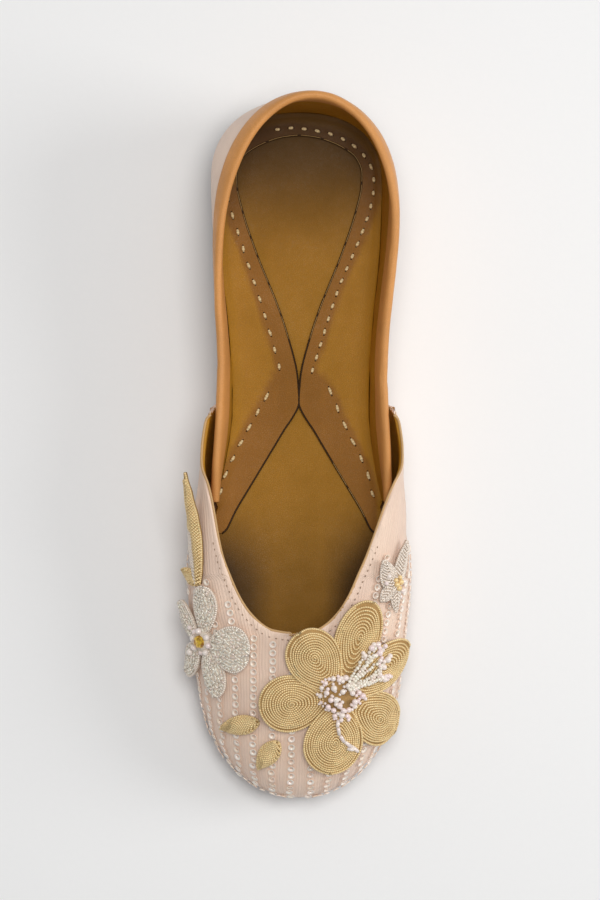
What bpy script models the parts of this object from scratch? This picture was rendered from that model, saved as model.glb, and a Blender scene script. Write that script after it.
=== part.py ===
"""An embroidered mojari: a flat slip-on shoe with a round toe, a vamp whose wings overlap the quarter,
a leather-bound collar and raised flower motifs. Toe towards -Y, lateral side towards +X, floor at Z 0.
"""

import math

import bmesh
import bpy
from mathutils import Matrix, Vector
from mathutils.bvhtree import BVHTree

MM = 0.001

# The last: the form inside the upper. Its bottom edge is the feather line.
LAST_LENGTH = 247.5 * MM
BALL_WIDTH = 74 * MM
HEEL_ROUND = 24 * MM
TOE_ROUND = 38 * MM
HEEL_POWER = 2.3
TOE_POWER = 2.05

# Heights above the floor and lengths of the upper.
COLLAR_HEIGHT = 59 * MM
THROAT_HEIGHT = 41 * MM
THROAT_WIDTH = 72 * MM
THROAT_SWAY = -2.8 * MM
COLLAR_WIDTH = 64 * MM
COLLAR_SWAY = 3 * MM
VAMP_LENGTH = 59 * MM
WING_LENGTH = 78 * MM
WING_FOOT = 106 * MM
QUARTER_LENGTH = 144 * MM
HEEL_LEAN = 2.5 * MM
QUARTER_CURL = 1.5
QUARTER_ROUNDNESS = 0.35
EDGE_ROUNDNESS = 0.4
VAMP_FLANK = 4 * MM
QUARTER_FLANK = 2.2 * MM

# Walls, layers and the clearance between touching pieces.
CLEARANCE = 0.3 * MM
VAMP_WALL = 1.8 * MM
QUARTER_WALL = 1.7 * MM
BINDING_WALL = 0.6 * MM
BINDING_OUTSIDE = 5 * MM
BINDING_INSIDE = 8 * MM
OUTSOLE_THICKNESS = 4.5 * MM
OUTSOLE_CHAMFER = 0.7 * MM
OUTSOLE_GROOVE = 0.6 * MM
HEEL_LIFT_THICKNESS = 5.5 * MM
HEEL_LIFT_LENGTH = 62 * MM
HEEL_LIFT_INSET = 0.8 * MM
TOE_SPRING = 5 * MM
INSOLE_THICKNESS = 3 * MM
LINING_FLAP_THICKNESS = 1.2 * MM

# The embroidered motifs.
GOLD_PETAL_REACH = 18.5 * MM
GOLD_PETAL_LENGTH = 21 * MM
GOLD_PETAL_WIDTH = 20 * MM
GOLD_PETAL_LIFT = 2.2 * MM
GOLD_CORE_RADIUS = 7 * MM
SILVER_PETAL_REACH = 12 * MM
SILVER_PETAL_LENGTH = 15 * MM
SILVER_PETAL_WIDTH = 12 * MM
SILVER_PETAL_LIFT = 1.2 * MM
SILVER_CORE_RADIUS = 4.5 * MM
PETAL_THICKNESS = 1.6 * MM
PETAL_ROOT = 3 * MM
PETAL_LAYER = 0.7 * MM
CORE_HEIGHT = 3.3 * MM
LEAF_LENGTH = 20 * MM
LEAF_WIDTH = 6 * MM
LEAF_THICKNESS = 1.4 * MM
LEAF_LIFT = 1 * MM
PEARL_RADIUS = 1.7 * MM
PEARL_RING_RADIUS = 4.8 * MM
PEARL_DOME_RADIUS = 5.4 * MM
STONE_RADIUS = 2.4 * MM
MOTIF_DROP = 5 * MM
MOTIF_SEAT = 2 * CLEARANCE
PETAL_WIDEST = 0.58
PETAL_NARROWING = 0.36
LEAF_SHARPNESS = 0.8
LEAF_FULLNESS = 0.85
PADDING_EDGE = 0.55
CORE_TAPER = 0.85
DOME_TAPER = 0.6
PEARLS_ROUND = 8
TOP_PEARL_RISE = 1.6
STONE_TABLE = 0.55
STONE_DEPTH = 0.8

# How finely the forms are sampled.
SOLE_POINTS = 34
VAMP_SECTIONS_A_SIDE = 20
QUARTER_SECTIONS_A_SIDE = 20
FLAP_SECTIONS_A_SIDE = 30
VAMP_RISES = 8
QUARTER_RISES = 6
PATCH_LINES = 7
PATCH_COLUMNS = (-1, -0.5, 0, 0.5, 1)
PATCH_SHARES = (0.03, 0.985)
CORE_SIDES = 12
DOME_SIDES = 16
STONE_SIDES = 8
FEATHER_SAMPLES = 240
SECTION_SAMPLES = 60
END_SPACING = 0.35
FOOT_SPACING = 1.15
NORMAL_STEP = 1e-3
FOOT_ANGLE = 0.02
TOP_ANGLE = 0.01
SPOT_REACH = 3 * MM
SPOT_HEIGHT = 20 * MM
GROUND_HEIGHT = 12 * MM
SMOOTH_ANGLE = math.radians(40)

MEDIAL = -1
LATERAL = 1
SIDES = {MEDIAL: "medial", LATERAL: "lateral"}
SLOPING_COLUMNS = ("out", "inward", "wall")

HEEL_Y = LAST_LENGTH / 2
TOE_Y = -LAST_LENGTH / 2

# Half widths of the last's bottom, as shares of half the ball width, from the heel to the toe.
LAST_PLAN = (
    ("station", "medial", "lateral"),
    (0.00, 0.830, 0.830),
    (0.10, 0.838, 0.838),
    (0.20, 0.822, 0.827),
    (0.32, 0.735, 0.757),
    (0.44, 0.690, 0.722),
    (0.52, 0.757, 0.776),
    (0.60, 0.886, 0.892),
    (0.66, 0.965, 0.965),
    (0.72, 1.000, 1.000),
    (0.78, 0.985, 0.985),
    (0.84, 0.935, 0.935),
    (0.90, 0.885, 0.885),
    (1.00, 0.860, 0.860),
)

# How the lengths of the last's stations share out the places where one form passes into the next.
WING_BLEND = 0.10
QUARTER_END_GAP = 0.01
QUARTER_END_BLEND = 0.05
THROAT_SWAY_FADE = (0.10, 0.50)
COLLAR_SWAY_FADE = (0.15, 0.60)

# The outsole's side: its rise as a share of the thickness, and its inset as shares of chamfer and groove.
OUTSOLE_SIDE = (
    ("rise", "chamfer", "groove"),
    (0.00, 1, 0),
    (0.16, 0, 0),
    (0.46, 0, 0),
    (0.56, 0, 1),
    (0.66, 0, 0),
    (1.00, 0, 0),
)

# The outsole's underside: its height as a share of the heel lift, then of the toe spring.
SOLE_SIDE = (
    ("station", "lift", "spring"),
    (0.00, 1.00, 0.00),
    (0.26, 1.00, 0.00),
    (0.32, 0.90, 0.00),
    (0.42, 0.42, 0.00),
    (0.50, 0.10, 0.00),
    (0.55, 0.00, 0.00),
    (0.78, 0.00, 0.00),
    (0.86, 0.00, 0.16),
    (0.94, 0.00, 0.56),
    (1.00, 0.00, 1.00),
)

# The vamp's sections, from a wing's back end round to the toe tip. Around is the share of the feather
# line, out the share of half the throat width, back the share of the wing length behind the throat,
# high the share of the throat height, flank the share of the vamp flank, full the roundness of the
# section, and crown how much of its rise is a plain slope.
VAMP_SECTIONS = (
    ("around", "out", "back", "high", "flank", "full", "crown"),
    (0.000, 0.892, 1.000, 1.035, 0.50, 2.1, 0.10),
    (0.060, 0.945, 0.910, 1.030, 0.70, 2.1, 0.10),
    (0.120, 0.965, 0.795, 1.010, 0.90, 2.1, 0.10),
    (0.190, 0.915, 0.692, 0.985, 1.00, 2.1, 0.10),
    (0.260, 0.867, 0.604, 0.962, 1.00, 2.1, 0.10),
    (0.330, 0.806, 0.494, 0.943, 0.92, 2.1, 0.12),
    (0.410, 0.740, 0.378, 0.928, 0.80, 2.1, 0.14),
    (0.500, 0.642, 0.263, 0.920, 0.64, 2.1, 0.16),
    (0.600, 0.517, 0.141, 0.928, 0.50, 2.15, 0.20),
    (0.700, 0.383, 0.064, 0.950, 0.40, 2.2, 0.25),
    (0.820, 0.228, 0.015, 0.980, 0.32, 2.3, 0.29),
    (1.000, 0.000, 0.000, 1.000, 0.30, 2.3, 0.30),
)

# The quarter's sections, from the heel back to a front end. Around is the share of the feather line,
# out the share of half the collar width, ahead the share of the quarter's length in front of the
# collar's peak, high the share of the collar height, and flank the share of the quarter flank.
QUARTER_SECTIONS = (
    ("around", "out", "ahead", "high", "flank"),
    (0.000, 0.000, 0.000, 1.000, 0.80),
    (0.040, 0.188, 0.006, 0.998, 0.85),
    (0.080, 0.375, 0.025, 0.990, 0.90),
    (0.130, 0.580, 0.064, 0.972, 0.95),
    (0.180, 0.750, 0.117, 0.948, 1.00),
    (0.240, 0.895, 0.197, 0.914, 1.00),
    (0.300, 0.965, 0.264, 0.884, 0.90),
    (0.380, 0.995, 0.355, 0.848, 0.55),
    (0.500, 0.978, 0.479, 0.800, 0.20),
    (0.655, 0.928, 0.643, 0.745, 0.10),
    (0.780, 0.945, 0.780, 0.712, 0.30),
    (0.900, 0.980, 0.900, 0.672, 0.60),
    (0.950, 0.985, 0.950, 0.632, 0.70),
    (1.000, 0.985, 1.000, 0.580, 0.75),
)

# The lining's turned-in flap on the insole. Inward is the free edge's half width as a share of half
# the collar width, edge its station on the last, and wall where it meets the quarter's wall, as a
# share of the quarter's feather line, past 1 where it runs on under the vamp's wing.
FLAP_SECTIONS = (
    ("order", "inward", "edge", "wall"),
    (0.00, 0.000, 0.037, 0.000),
    (0.06, 0.200, 0.040, 0.050),
    (0.12, 0.440, 0.051, 0.110),
    (0.18, 0.640, 0.069, 0.170),
    (0.24, 0.709, 0.091, 0.235),
    (0.28, 0.709, 0.108, 0.280),
    (0.34, 0.640, 0.150, 0.345),
    (0.42, 0.490, 0.208, 0.440),
    (0.53, 0.153, 0.321, 0.610),
    (0.59, 0.000, 0.405, 0.740),
    (0.63, 0.000, 0.430, 0.775),
    (0.69, 0.140, 0.462, 0.825),
    (0.77, 0.375, 0.513, 0.895),
    (0.90, 0.700, 0.583, 1.000),
    (1.00, 0.872, 0.620, 1.070),
)

# Petals: direction in the flower's plane in degrees, and the distance of the petal's middle, its
# length and its width as shares of the flower's own. Petals of layer 1 lie on those of layer 0.
GOLD_PETALS = (
    ("turn", "reach", "length", "width", "layer"),
    (122, 0.98, 0.95, 0.95, 1),
    (70, 1.32, 1.04, 0.86, 0),
    (26, 1.24, 0.90, 0.80, 1),
    (188, 0.94, 1.00, 1.05, 0),
    (266, 1.00, 1.04, 1.10, 1),
    (325, 1.10, 1.14, 0.95, 0),
)
SILVER_PETALS = (
    ("turn", "reach", "length", "width", "layer"),
    (90, 1.08, 1.04, 0.90, 0),
    (358, 1.00, 0.95, 1.40, 1),
    (293, 1.05, 1.06, 0.88, 0),
    (232, 1.00, 1.00, 0.85, 1),
    (152, 1.00, 0.95, 0.85, 1),
)

# Leaves: base across the shoe as a share of half the ball width and back as a share of the vamp
# length behind the toe tip, direction in degrees, length and width as shares of the plain leaf, and
# the tip's lift in plain lifts.
TOE_LEAVES = (
    ("across", "back", "turn", "length", "width", "lift"),
    (-0.390, 0.478, 199, 0.80, 1.15, 1.0),
    (-0.215, 0.360, 238, 0.70, 1.15, 1.0),
)
MEDIAL_LEAVES = (
    ("across", "back", "turn", "length", "width", "lift"),
    (-0.955, 1.290, 98, 2.10, 1.15, 5.0),
    (-0.965, 1.310, 160, 0.45, 0.90, 1.5),
)
LATERAL_LEAVES = (
    ("across", "back", "turn", "length", "width", "lift"),
    (0.885, 1.260, 76, 0.95, 0.95, 1.5),
    (0.870, 1.260, 112, 0.68, 1.10, 1.5),
    (0.885, 1.360, 268, 0.68, 0.80, 1.0),
    (0.880, 1.300, 215, 0.42, 0.85, 1.0),
)
GOLD_FLOWER_PLACE = (0.340, 0.640)
SILVER_FLOWER_PLACE = (-0.915, 0.960)

# sRGB colours of the finished surfaces.
COLOURS = {
    "champagne_fabric": "CDB6A2",
    "tan_binding_leather": "D69A5E",
    "brown_lining_leather": "8A6230",
    "sole_leather": "A9784A",
    "heel_rubber": "4A3524",
    "gold_dabka": "CDAA62",
    "silver_bead": "C9C0B4",
    "pearl": "E9DFD2",
    "amber_stone": "D39A1E",
}
ROUGHNESS = {"gold_dabka": 0.4, "silver_bead": 0.4, "pearl": 0.25, "amber_stone": 0.1}
METALLIC = {"gold_dabka": 0.7, "silver_bead": 0.5}


def column(table, name):
    """A named column of a table."""
    at = table[0].index(name)
    return [row[at] for row in table[1:]]


def rows_of(table):
    """The rows of a table, each with its columns' names."""
    return [dict(zip(table[0], row)) for row in table[1:]]


def read(table, name, at):
    """A column's value at a place along the table's first column, on a curve through its rows that
    never passes beyond them. It levels off at both ends, but for a column that keeps its slope there."""
    places = column(table, table[0][0])
    values = column(table, name)
    last = len(places) - 1
    at = min(max(at, places[0]), places[-1])
    i = max(j for j in range(last) if places[j] <= at)

    def rise(j):
        return (values[j + 1] - values[j]) / (places[j + 1] - places[j])

    def slope(j):
        if j in (0, last):
            return rise(min(j, last - 1)) if name in SLOPING_COLUMNS else 0
        before, after = rise(j - 1), rise(j)
        return 2 * before * after / (before + after) if before * after > 0 else 0

    step = places[i + 1] - places[i]
    t = (at - places[i]) / step
    return (
        values[i] * (1 + 2 * t) * (1 - t) ** 2
        + values[i + 1] * t * t * (3 - 2 * t)
        + slope(i) * step * t * (1 - t) ** 2
        - slope(i + 1) * step * t * t * (1 - t)
    )


def rounded(share, power):
    """The width left at a share of the way into a rounded end."""
    share = min(max(share, 0), 1)
    return (1 - (1 - share) ** power) ** (1 / power)


def last_half_width(station, side):
    heel = rounded(station * LAST_LENGTH / HEEL_ROUND, HEEL_POWER)
    toe = rounded((1 - station) * LAST_LENGTH / TOE_ROUND, TOE_POWER)
    return read(LAST_PLAN, SIDES[side], station) * BALL_WIDTH / 2 * heel * toe


def feather_line(side):
    """The last's bottom edge on one side, heel to toe, as (point, outward direction, station)."""
    samples = FEATHER_SAMPLES
    stations = [(1 - math.cos(math.pi * i / samples)) / 2 for i in range(samples + 1)]
    points = [
        Vector((side * last_half_width(station, side), HEEL_Y - station * LAST_LENGTH))
        for station in stations
    ]
    line = []
    for i, point in enumerate(points):
        run = points[min(i + 1, samples)] - points[max(i - 1, 0)]
        outward = Vector((-run.y, run.x)).normalized() * side
        if i == 0:
            outward = Vector((0, 1))
        if i == samples:
            outward = Vector((0, -1))
        line.append((point, outward, stations[i]))
    return line


FEATHER = {side: feather_line(side) for side in SIDES}


def lengths_along(points):
    total = [0.0]
    for a, b in zip(points, points[1:]):
        total.append(total[-1] + (b - a).length)
    return total


FEATHER_LENGTHS = {side: lengths_along([row[0] for row in FEATHER[side]]) for side in SIDES}


def at_length(side, length):
    """The feather line's point, outward direction and station at a length from the heel back."""
    line, lengths = FEATHER[side], FEATHER_LENGTHS[side]
    length = min(max(length, 0), lengths[-1])
    i = max(j for j in range(len(lengths) - 1) if lengths[j] <= length)
    t = (length - lengths[i]) / (lengths[i + 1] - lengths[i])
    point = line[i][0].lerp(line[i + 1][0], t)
    outward = line[i][1].lerp(line[i + 1][1], t).normalized()
    return point, outward, line[i][2] + (line[i + 1][2] - line[i][2]) * t


def length_at_station(side, station):
    """How far along the feather line a station of the last lies."""
    stations = [row[2] for row in FEATHER[side]]
    i = max(j for j in range(len(stations) - 1) if stations[j] <= station)
    t = (station - stations[i]) / (stations[i + 1] - stations[i])
    lengths = FEATHER_LENGTHS[side]
    return lengths[i] + (lengths[i + 1] - lengths[i]) * t


def station_of(y):
    return min(max((HEEL_Y - y) / LAST_LENGTH, 0), 1)


def outsole_under(y):
    """The height of the outsole's underside. It is level across the shoe."""
    station = station_of(y)
    lift = read(SOLE_SIDE, "lift", station) * HEEL_LIFT_THICKNESS
    spring = read(SOLE_SIDE, "spring", station) * TOE_SPRING
    return lift + spring


def outsole_over(y):
    return outsole_under(y) + OUTSOLE_THICKNESS


def insole_over(y):
    return outsole_over(y) + CLEARANCE + INSOLE_THICKNESS


def flap_over(y):
    return insole_over(y) + CLEARANCE + LINING_FLAP_THICKNESS


def step_between(value, low, high):
    """0 below low, 1 above high, and a smooth step between them."""
    t = min(max((value - low) / (high - low), 0), 1)
    return t * t * (3 - 2 * t)


WING_FOOT_STATION = WING_FOOT / LAST_LENGTH
QUARTER_END_STATION = (QUARTER_LENGTH - HEEL_LEAN) / LAST_LENGTH
VAMP_OUTSET = CLEARANCE + VAMP_WALL


def sole_outset(station):
    """The outsole follows the quarter at the heel and the vamp, which lies outside it, ahead of that."""
    return VAMP_OUTSET * step_between(station, WING_FOOT_STATION - WING_BLEND, WING_FOOT_STATION)


def insole_outset(station):
    """The insole fits inside the quarter, and ahead of the quarter's end inside the vamp."""
    start = QUARTER_END_STATION + QUARTER_END_GAP
    ahead = step_between(station, start, QUARTER_END_STATION + QUARTER_END_BLEND)
    return -(QUARTER_WALL + CLEARANCE) * (1 - ahead) - CLEARANCE


def new_material(name):
    """A plain Principled material in one of the finished colours."""
    material = bpy.data.materials.get(name)
    if material:
        return material
    material = bpy.data.materials.new(name)
    material.use_nodes = True
    shader = material.node_tree.nodes["Principled BSDF"]
    text = COLOURS[name]
    linear = [(int(text[i : i + 2], 16) / 255) ** 2.2 for i in (0, 2, 4)]
    shader.inputs["Base Color"].default_value = (*linear, 1)
    shader.inputs["Roughness"].default_value = ROUGHNESS.get(name, 0.7)
    shader.inputs["Metallic"].default_value = METALLIC.get(name, 0)
    return material


def add_object(name, mesh, material, collection):
    """A new object from a bmesh, which it frees."""
    data = bpy.data.meshes.new(name)
    mesh.to_mesh(data)
    mesh.free()
    data.materials.append(new_material(material))
    data.shade_smooth()
    data.set_sharp_from_angle(angle=SMOOTH_ANGLE)
    made = bpy.data.objects.new(name, data)
    collection.objects.link(made)
    return made


def loft(loops):
    """A closed bmesh skinned over loops. A loop runs out along one face and back along the other, so
    each end closes with a ladder of faces between the two."""
    mesh = bmesh.new()
    rings = [[mesh.verts.new(point) for point in loop] for loop in loops]
    count = len(rings[0])
    for ring, after in zip(rings, rings[1:]):
        for i in range(count):
            j = (i + 1) % count
            mesh.faces.new((ring[i], ring[j], after[j], after[i]))
    for ring in (rings[0], rings[-1]):
        for i in range(count // 2 - 1):
            mesh.faces.new((ring[i], ring[i + 1], ring[count - 2 - i], ring[count - 1 - i]))
        if count % 2:
            middle = count // 2
            mesh.faces.new((ring[middle - 1], ring[middle], ring[middle + 1]))
    bmesh.ops.recalc_face_normals(mesh, faces=mesh.faces)
    return mesh


def outline_loop(outset, inset, first, last, height):
    """One level of a sole layer: its outline between two stations, outset from the last at each
    station and inset all round, at a height for each y."""
    loop = []
    for side in (LATERAL, MEDIAL):
        start = length_at_station(side, first)
        end = length_at_station(side, last)
        points = []
        for i in range(SOLE_POINTS):
            share = (i + 0.5) / SOLE_POINTS
            if i == 0 and first > 0:
                share = 0
            if i == SOLE_POINTS - 1 and last < 1:
                share = 1
            point, outward, station = at_length(side, start + (end - start) * share)
            moved = point + outward * (outset(station) - inset)
            points.append(Vector((moved.x, moved.y, height(moved.y))))
        loop += points if side == LATERAL else points[::-1]
    return loop


def outsole(collection):
    """The leather outsole, level across, with a heel seat, toe spring and a groove round its side."""
    loops = []
    for level in rows_of(OUTSOLE_SIDE):
        above = level["rise"] * OUTSOLE_THICKNESS
        inset = level["chamfer"] * OUTSOLE_CHAMFER + level["groove"] * OUTSOLE_GROOVE
        loops.append(outline_loop(sole_outset, inset, 0, 1, lambda y, above=above: outsole_under(y) + above))
    return add_object("outsole", loft(loops), "sole_leather", collection)


def heel_lift(collection):
    """The low lift under the heel seat, straight across its breast."""
    top = HEEL_LIFT_THICKNESS - CLEARANCE
    levels = ((OUTSOLE_CHAMFER, 0), (0, OUTSOLE_CHAMFER), (0, top))
    breast = HEEL_LIFT_LENGTH / LAST_LENGTH
    loops = [
        outline_loop(sole_outset, HEEL_LIFT_INSET + inset, 0, breast, lambda y, z=z: z)
        for inset, z in levels
    ]
    return add_object("heel_lift", loft(loops), "heel_rubber", collection)


def insole(collection):
    """The insole, which lies on the outsole inside the upper."""
    edge = OUTSOLE_CHAMFER
    levels = ((0, 0), (0, INSOLE_THICKNESS - edge), (edge, INSOLE_THICKNESS))
    loops = []
    for inset, rise in levels:
        above = CLEARANCE + rise
        loops.append(outline_loop(insole_outset, inset, 0, 1, lambda y, above=above: outsole_over(y) + above))
    return add_object("insole", loft(loops), "brown_lining_leather", collection)


def rise_shape(angle, full, crown):
    """How far a section has come in, and how far up, at an angle from 0 at its foot to a right angle."""
    power = 2 / full
    inward = 1 - max(math.cos(angle), 0) ** power
    up = (1 - crown) * math.sin(angle) ** power + crown * inward
    return inward, up


def vamp_point(around, angle):
    """The vamp's inner face. Around is 0 at the toe tip, 1 at the lateral and -1 at the medial wing end."""
    side = LATERAL if around >= 0 else MEDIAL
    share = 1 - min(abs(around), 1)
    start = length_at_station(side, WING_FOOT_STATION)
    whole = FEATHER_LENGTHS[side][-1]
    foot, outward, _ = at_length(side, start + (whole - start) * share)
    foot = foot + outward * CLEARANCE
    sway = THROAT_SWAY * step_between(share, *THROAT_SWAY_FADE)
    top = Vector((
        side * read(VAMP_SECTIONS, "out", share) * THROAT_WIDTH / 2 + sway,
        TOE_Y + VAMP_LENGTH + read(VAMP_SECTIONS, "back", share) * WING_LENGTH,
    ))
    foot_z = outsole_over(foot.y) + CLEARANCE
    top_z = read(VAMP_SECTIONS, "high", share) * THROAT_HEIGHT
    inward, up = rise_shape(angle, read(VAMP_SECTIONS, "full", share), read(VAMP_SECTIONS, "crown", share))
    flank = read(VAMP_SECTIONS, "flank", share) * VAMP_FLANK * math.sin(2 * angle)
    plan = foot + (top - foot) * inward + outward * flank
    return Vector((plan.x, plan.y, foot_z + (top_z - foot_z) * up))


def quarter_point(around, angle):
    """The quarter's outer face. Around is 0 at the heel back, 1 at the lateral and -1 at the medial end."""
    side = LATERAL if around >= 0 else MEDIAL
    share = min(abs(around), 1)
    whole = length_at_station(side, QUARTER_END_STATION)
    foot, outward, _ = at_length(side, whole * share)
    sway = COLLAR_SWAY * (1 - step_between(share, *COLLAR_SWAY_FADE))
    top = Vector((
        side * read(QUARTER_SECTIONS, "out", share) * COLLAR_WIDTH / 2 + sway,
        HEEL_Y + HEEL_LEAN - read(QUARTER_SECTIONS, "ahead", share) * QUARTER_LENGTH,
    ))
    foot_z = outsole_over(foot.y) + CLEARANCE
    top_z = read(QUARTER_SECTIONS, "high", share) * COLLAR_HEIGHT
    inward, up = rise_shape(angle, 2, 0)
    lean = angle / (math.pi / 2)
    flank = read(QUARTER_SECTIONS, "flank", share) * QUARTER_FLANK * math.sin(math.pi * lean)
    plan = foot + (top - foot) * inward**QUARTER_CURL + outward * flank
    height = QUARTER_ROUNDNESS * up + (1 - QUARTER_ROUNDNESS) * lean
    return Vector((plan.x, plan.y, foot_z + (top_z - foot_z) * height))


def face_normal(surface, around, angle, inside):
    """The direction out of a surface, found from close neighbours, away from a point inside the shoe."""
    near = NORMAL_STEP
    low = max(angle - near, 0)
    high = min(angle + near, math.pi / 2)
    along = surface(min(around + near, 1), angle) - surface(max(around - near, -1), angle)
    upward = surface(around, high) - surface(around, low)
    normal = along.cross(upward).normalized()
    point = surface(around, angle)
    return normal if normal.dot(point - inside) > 0 else -normal


def section(surface, around, levels):
    """A surface's section at one place: (point, normal, upward direction) at each of the levels, which
    are worked out from the section's length."""
    fine = SECTION_SAMPLES
    points = [surface(around, math.pi / 2 * i / fine) for i in range(fine + 1)]
    lengths = lengths_along(points)
    return [at_section_length(surface, around, points, lengths, level) for level in levels(lengths[-1])]


def vamp_levels(length):
    return [length * (i / VAMP_RISES) ** FOOT_SPACING for i in range(VAMP_RISES + 1)]


def quarter_levels(length):
    """Even steps up to the binding, then the binding's own levels."""
    plain = length - BINDING_INSIDE
    even = [plain * i / QUARTER_RISES for i in range(QUARTER_RISES + 1)]
    return [*even, length - BINDING_OUTSIDE, length - BINDING_OUTSIDE / 2, length]


def at_section_length(surface, around, points, lengths, wanted):
    """The point, normal and upward direction of a section at a length above its foot."""
    fine = len(points) - 1
    wanted = min(max(wanted, 0), lengths[-1])
    i = max(j for j in range(fine) if lengths[j] <= wanted)
    t = (wanted - lengths[i]) / (lengths[i + 1] - lengths[i])
    angle = math.pi / 2 * (i + t) / fine
    point = points[i].lerp(points[i + 1], t)
    inside = Vector((0, min(max(point.y, TOE_Y / 2), HEEL_Y / 2), 0))
    steady = min(max(angle, FOOT_ANGLE), math.pi / 2 - TOP_ANGLE)
    normal = face_normal(surface, around, steady, inside)
    upward = (points[i + 1] - points[i]).normalized()
    if wanted == 0:
        normal = Vector((normal.x, normal.y, 0)).normalized()
    return point, normal, upward


def standing(point):
    """A wall's foot, set at the clearance above the outsole."""
    return Vector((point.x, point.y, outsole_over(point.y) + CLEARANCE))


def shell_loop(rows, out, into):
    """A wall's section as a loop: up its outer face, over its rounded edge and down its inner face."""
    outer = [point + normal * out for point, normal, _ in rows]
    inner = [point - normal * into for point, normal, _ in rows]
    outer[0] = standing(outer[0])
    inner[0] = standing(inner[0])
    edge = (outer[-1] + inner[-1]) / 2 + rows[-1][2] * (out + into) * EDGE_ROUNDNESS
    return [*outer, edge, *inner[::-1]]


def arounds(count):
    """Places from one end of a U to the other, closer together at both ends and round the bend."""
    places = []
    for i in range(-count, count + 1):
        step = abs(i) / count
        places.append(math.copysign(END_SPACING * step + (1 - END_SPACING) * step_between(step, 0, 1), i))
    return places


def vamp(collection):
    """The hollow vamp: over the toes, open at the throat and underneath, with a wing back on each side."""
    loops = [
        shell_loop(section(vamp_point, around, vamp_levels), VAMP_WALL, 0)
        for around in arounds(VAMP_SECTIONS_A_SIDE)
    ]
    return add_object("vamp", loft(loops), "champagne_fabric", collection)


def quarter(collection):
    """The hollow quarter: one wall round the heel, whose front ends stand inside the vamp's wings."""
    loops = [
        shell_loop(section(quarter_point, around, quarter_levels), 0, QUARTER_WALL)
        for around in arounds(QUARTER_SECTIONS_A_SIDE)
    ]
    return add_object("quarter", loft(loops), "champagne_fabric", collection)


def collar_binding(collection):
    """The leather strip folded over the quarter's top edge, a little deeper inside than outside."""
    loops = []
    for around in arounds(QUARTER_SECTIONS_A_SIDE):
        rows = section(quarter_point, around, quarter_levels)
        point, normal, upward = rows[-1]
        path = [(row[0], row[1]) for row in rows[-3:-1]]
        path.append((point, (normal + upward).normalized()))
        path.append((point - normal * QUARTER_WALL / 2 + upward * QUARTER_WALL * EDGE_ROUNDNESS, upward))
        path.append((point - normal * QUARTER_WALL, (upward - normal).normalized()))
        path += [(row[0] - row[1] * QUARTER_WALL, -row[1]) for row in rows[-2:-5:-1]]
        outer = [place + away * (CLEARANCE + BINDING_WALL) for place, away in path]
        inner = [place + away * CLEARANCE for place, away in path]
        loops.append(outer + inner[::-1])
    return add_object("collar_binding", loft(loops), "tan_binding_leather", collection)


def lining_flap(collection):
    """The lining's lower edge, turned in over the insole: round the heel, meeting at the waist, and
    then back out to each side."""
    loops = []
    shares = [i / FLAP_SECTIONS_A_SIDE for i in range(FLAP_SECTIONS_A_SIDE, -1, -1)]
    places = [(MEDIAL, share) for share in shares] + [(LATERAL, share) for share in shares[-2::-1]]
    for side, share in places:
        free_x = read(FLAP_SECTIONS, "inward", share) * COLLAR_WIDTH / 2
        if share > 0:
            free_x = max(free_x, CLEARANCE / 2)
        free_y = HEEL_Y - read(FLAP_SECTIONS, "edge", share) * LAST_LENGTH
        whole = length_at_station(side, QUARTER_END_STATION)
        foot, outward, _ = at_length(side, whole * read(FLAP_SECTIONS, "wall", share))
        wall = foot - outward * (QUARTER_WALL + 2 * CLEARANCE)
        free = Vector((side * free_x, free_y))
        loops.append([
            Vector((free.x, free.y, insole_over(free.y) + CLEARANCE)),
            Vector((wall.x, wall.y, insole_over(wall.y) + CLEARANCE)),
            Vector((wall.x, wall.y, flap_over(wall.y))),
            Vector((free.x, free.y, flap_over(free.y))),
        ])
    return add_object("lining_flap", loft(loops), "brown_lining_leather", collection)


class Spot:
    """A place on the vamp: its point and the directions ahead, across and out of the leather."""

    def __init__(self, point, ahead, out):
        self.point = point
        self.out = out
        self.ahead = (ahead - out * ahead.dot(out)).normalized()
        self.across = out.cross(self.ahead)

    def direction(self, turn):
        return self.ahead * math.cos(turn) + self.across * math.sin(turn)


class Ground:
    """The vamp's outer face, for laying motifs on."""

    def __init__(self, carrier):
        self.tree = BVHTree.FromObject(carrier, bpy.context.evaluated_depsgraph_get())

    def spot(self, place, out, ahead):
        """The spot under a place, seen against an outward direction and smoothed over its surroundings."""
        side = out.cross(ahead).normalized()
        hits = []
        for step in (Vector(), ahead, -ahead, side, -side):
            hit = self.tree.ray_cast(place + step * SPOT_REACH + out * SPOT_HEIGHT, -out)
            if hit[0]:
                hits.append(hit)
        smooth = sum((hit[1] for hit in hits), Vector()).normalized()
        return Spot(hits[0][0], ahead, smooth)

    def height(self, place, out, otherwise):
        """How far the vamp lies above a place in a motif's plane, along its outward direction."""
        hit = self.tree.ray_cast(place + out * GROUND_HEIGHT, -out)
        if not hit[0] or hit[3] - GROUND_HEIGHT > MOTIF_DROP:
            return otherwise
        return GROUND_HEIGHT - hit[3]


def petal_half_width(share):
    """A petal's half width along its length, as a share of the whole: a narrow root and a round end."""
    if share < PETAL_WIDEST:
        return 0.5 - PETAL_NARROWING * (1 - share / PETAL_WIDEST) ** 2
    return 0.5 * math.sqrt(1 - ((share - PETAL_WIDEST) / (1 - PETAL_WIDEST)) ** 2)


def leaf_half_width(share):
    """A leaf's half width along its length: widest near its root, with a point."""
    return 0.5 * max(math.sin(math.pi * share**LEAF_SHARPNESS), 0) ** LEAF_FULLNESS


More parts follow.
